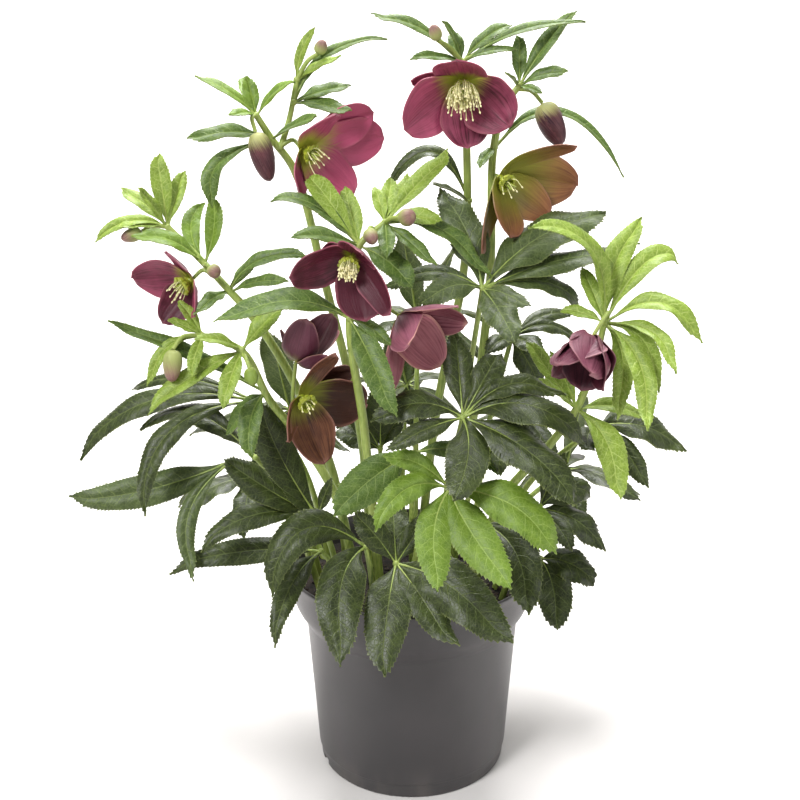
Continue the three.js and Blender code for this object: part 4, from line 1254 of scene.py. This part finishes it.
def make_centre(bloom, rng):
    """Stamens round a few carpels, with a ring of small nectaries at their foot."""
    look = BLOOM_LOOKS[bloom.name]
    centre = Centre(bloom, rng)
    centre.surface.ball(centre.seat, SEAT_RADIUS * MM, CENTRE_PARTS.index("nectary"))
    for index in range(NECTARY["count"]):
        centre.add_nectary(index)
    for index in range(look.stamens):
        centre.add_stamen(index, look.stamens, look.size)
    for index in range(CARPEL["count"]):
        centre.add_carpel(index, look.size)
    centre.surface.finish(bloom.name + "_centre", CENTRE_PARTS, "bloom_centre")


# ---- buds ----
BIG_BUD = 14
BUD_GRID = {"rows": 22, "columns": 44}
BUD_LAPS = 3
LAP_HEIGHT = 0.1
BUD_BLUNT = 2.1
BUD_WIDEST = 0.86
BUD_TAPER = 0.16
# How far the green base of a bud reaches and how deep its colour is.
BUD_LOOKS = {"bud_large": (0.34, 0.5), "bud_small": (0.75, 0.3), "bud_green": (0.4, 0.4)}


def make_bud(bud, rng):
    """A closed bud with a blunt end, whose sepals overlap like a spiral."""
    surface = Surface()
    start = at(bud.start)
    along = at(bud.end) - start
    way = along.normalized()
    out = way.orthogonal().normalized()
    over = way.cross(out)
    rows = BUD_GRID["rows"]
    tint = rng.random()
    skin = "bud_large" if bud.width >= BIG_BUD else "bud_small"
    if bud.tone == "medium":
        skin = "bud_green"
    surface.heart, depth = BUD_LOOKS[skin]

    def place(side, row):
        t = row / rows
        turn = math.pi * side
        lap = (BUD_LAPS * turn / math.tau + 0.5 * t) % 1.0
        round_end = math.sqrt(max(0.0, 1 - abs(2 * t ** BUD_WIDEST - 1) ** BUD_BLUNT))
        half = bud.width / 2 * round_end * (0.92 + LAP_HEIGHT * lap) * (1.04 - BUD_TAPER * t)
        spot = start + along * t + (out * math.cos(turn) + over * math.sin(turn)) * half * MM
        blade = Vector(((lap - 0.5) * bud.width, t * along.length / MM, 2 * lap - 1))
        return spot, blade, Vector((t, tint, depth))

    surface.grid(BUD_GRID["columns"], rows, place, 0)
    slot = skin if skin == "bud_green" else "sepal_" + bud.tone
    surface.finish(bud.name, [skin], slot)


# ---- pot and soil ----
# A row is a radius and a height, from the underside up the outside and down the inside.
POT_PROFILE = (
    (0, 0), (30, 0), (53, 0), (61, 0), (62.8, 0.1), (63.8, 0.5), (64.2, 1.4), (64.3, 4),
    (64.45, 4.8), (64.5, 5.1), (64.9, 10.2), (65.1, 10.6), (65.7, 10.9), (65.8, 11.5),
    (67.6, 40), (70.1, 75), (72.3, 106), (72.5, 106.8), (72.9, 107.6), (73.4, 108.8),
    (74.6, 110.8), (78.0, 116.2), (79.9, 120.4), (81.2, 125.4), (82.2, 131.5), (83.1, 138),
    (84.1, 142), (84.8, 144), (85.0, 145.2), (84.6, 145.9), (83.8, 146), (83.0, 145.7),
    (82.6, 145), (81, 138), (79, 125), (76, 116), (70.4, 109), (67.4, 75), (62.4, 5), (61, 3.2),
    (40, 3), (0, 3),
)
POT_STEPS = 256
NOTCH = {"angles": (21, 201), "wide": 9, "high": 5, "floor": 59}


def make_pot():
    """The moulded pot: a thin wall with a flared collar, and a stepped foot with two notches."""
    surface = Surface()

    def place(side, row):
        turn = math.pi * side
        radius, height = POT_PROFILE[row]
        for angle in NOTCH["angles"]:
            away = abs((turn - math.radians(angle) + math.pi) % math.tau - math.pi) * radius
            outside = row < len(POT_PROFILE) / 2
            if outside and height < NOTCH["high"] and away < NOTCH["wide"] / 2:
                radius = min(radius, NOTCH["floor"])
        return around(radius, turn, height), NO_PATTERN, NO_PATTERN

    surface.grid(POT_STEPS, len(POT_PROFILE) - 1, place, 0)
    surface.finish("pot", ["pot"], "pot_plastic")


SOIL_SIDE = ((0, 3.6), (61.6, 3.6), (62.2, 8), (69.8, 109), (75.4, 116), (78.4, 125), (78.2, 131))
SOIL_EDGE = SOIL_SIDE[-1][0]
SOIL_STEPS = 96
SOIL_RINGS = 26
# A pair is how fine the unevenness of the soil is, and how high in millimetres.
SOIL_HUMPS = ((60, 2.0), (300, 0.9))
SOIL_SINK = 1.6
CRUMB = {"count": 520, "size": (0.7, 2.3), "long": (0.8, 1.8), "wide": (0.6, 1.2), "high": 0.6,
         "sink": 1.4, "margin": 3, "bark": 0.6}


def add_crumb(surface, rng):
    """A flat crumb, most of its faces bark, somewhere on the soil."""
    reach = (SOIL_EDGE - CRUMB["margin"]) * math.sqrt(rng.random())
    turn = rng.uniform(0, math.tau)
    size = rng.uniform(*CRUMB["size"]) * MM
    spot = around(reach, turn, SOIL_TOP - CRUMB["sink"])
    shape = Matrix.Diagonal((rng.uniform(*CRUMB["long"]), rng.uniform(*CRUMB["wide"]),
                             CRUMB["high"], 1))
    spin = Matrix.Rotation(rng.uniform(0, math.tau), 4, "Z")
    made = bmesh.ops.create_icosphere(
        surface.mesh, subdivisions=1, radius=size, matrix=Matrix.Translation(spot) @ spin @ shape)
    for face in faces_of(made):
        face.material_index = 1 if rng.random() < CRUMB["bark"] else 0


def make_soil(rng):
    """The potting mix: an uneven surface inside the pot, with crumbs of bark lying on it."""
    surface = Surface()

    def place(side, row):
        turn = math.pi * side
        ring = row - len(SOIL_SIDE) + 1
        if ring <= 0:
            return around(SOIL_SIDE[row][0], turn, SOIL_SIDE[row][1]), NO_PATTERN, NO_PATTERN
        spot = around(SOIL_EDGE * (1 - ring / SOIL_RINGS), turn, SOIL_TOP - SOIL_SINK)
        spot.z += sum(noise.noise(spot * scale) * high for scale, high in SOIL_HUMPS) * MM
        return spot, NO_PATTERN, NO_PATTERN

    surface.grid(SOIL_STEPS, len(SOIL_SIDE) + SOIL_RINGS - 1, place, 0)
    for _ in range(CRUMB["count"]):
        add_crumb(surface, rng)
    surface.finish("soil", ["soil", "crumb"], "potting_mix")


# ---- building the plant ----
# A row is: what makes the pieces, what they are made from, and where their random draws start.
MAKERS = ((make_leaf, LEAVES, 100), (make_back_leaf, BACK_LEAVES, 200), (make_stem, STEMS, 300),
          (make_sepals, BLOOMS, 400), (make_centre, BLOOMS, 500), (make_bud, BUDS, 600))


def build_plant():
    make_pot()
    make_soil(random.Random(SEED))
    for make, rows, start in MAKERS:
        for index, row in enumerate(rows):
            make(row, random.Random(SEED + start + index))


# ---- floor, light and camera ----
# The floor, in metres: it starts in front, runs back, and then curves up into a backdrop.
FLOOR = {"width": 8.0, "length": 6.0, "front": -2.0, "level": 3.6, "bend": 1.2, "steps": 60}
FLOOR_TONES = ((209, 206, 204), (213, 210, 208))


def floor_finish():
    look = Finish("floor")
    grain = look.noise(look.object_place(), 40.0)
    look.bump(grain, 0.0003, 0.2)
    return look.finish(look.mix(grain, *FLOOR_TONES), grain * 0.1 + 0.6, 0.3)


def make_floor():
    """A pale floor that curves up into a backdrop behind the plant."""
    mesh = bmesh.new()
    made = bmesh.ops.create_grid(mesh, x_segments=2, y_segments=FLOOR["steps"], size=1)
    quarter = FLOOR["bend"] * math.pi / 2
    for vert in made["verts"]:
        run = (vert.co.y + 1) / 2 * FLOOR["length"]
        past = max(run - FLOOR["level"], 0.0)
        turn = min(past, quarter) / FLOOR["bend"]
        level = FLOOR["front"] + min(run, FLOOR["level"])
        vert.co.x *= FLOOR["width"] / 2
        vert.co.y = level + FLOOR["bend"] * math.sin(turn)
        vert.co.z = FLOOR["bend"] * (1 - math.cos(turn)) + max(past - quarter, 0.0)
    for face in mesh.faces:
        face.smooth = True
    data = bpy.data.meshes.new("floor")
    mesh.to_mesh(data)
    mesh.free()
    data.materials.append(floor_finish())
    floor = bpy.data.objects.new("floor", data)
    bpy.context.scene.collection.objects.link(floor)


WORLD_STRENGTH = 0.36
MIDDLE = (0, 0, 0.3)
# A row is: place, target, size in metres, power in watts.
LIGHTS = {
    "key": ((-1.2, -1.5, 1.9), MIDDLE, 0.8, 62),
    "fill": ((1.7, -1.2, 0.9), MIDDLE, 1.2, 14),
    "top": ((0.2, 0.4, 2.2), MIDDLE, 1.0, 20),
    "backdrop": ((0, 1.0, 2.6), (0, 2.6, 0.2), 1.6, 190),
}


def add_light(name, place, target, size, power):
    lamp = bpy.data.lights.new(name, "AREA")
    lamp.shape = "DISK"
    lamp.size = size
    lamp.energy = power
    light = bpy.data.objects.new(name, lamp)
    light.location = place
    light.rotation_euler = (Vector(target) - Vector(place)).to_track_quat("-Z", "Y").to_euler()
    bpy.context.scene.collection.objects.link(light)


def light_scene():
    """Soft light from the upper left, a weak fill, and a bright backdrop."""
    world = bpy.data.worlds.new("studio")
    world.use_nodes = True
    background = world.node_tree.nodes["Background"]
    background.inputs["Color"].default_value = (1, 1, 1, 1)
    background.inputs["Strength"].default_value = WORLD_STRENGTH
    bpy.context.scene.world = world
    for name, row in LIGHTS.items():
        add_light(name, *row)


# The lens in pixels of a picture that is 800 wide, the camera's place in metres, and how far
# it looks down in degrees.
PICTURE_WIDTH = 800
LENS_PIXELS = 1252
SENSOR = 36
CAMERA = {"place": (0, -0.775, 0.519), "down": 18.5, "shift": -0.015}


def add_camera():
    lens = bpy.data.cameras.new("camera")
    lens.sensor_width = SENSOR
    lens.lens = SENSOR * LENS_PIXELS / PICTURE_WIDTH
    lens.shift_x = CAMERA["shift"]
    camera = bpy.data.objects.new("camera", lens)
    camera.location = CAMERA["place"]
    camera.rotation_euler = (math.radians(90 - CAMERA["down"]), 0, 0)
    bpy.context.scene.collection.objects.link(camera)
    bpy.context.scene.camera = camera


build_plant()
make_floor()
light_scene()
add_camera()
bpy.context.scene.view_settings.view_transform = "Standard"
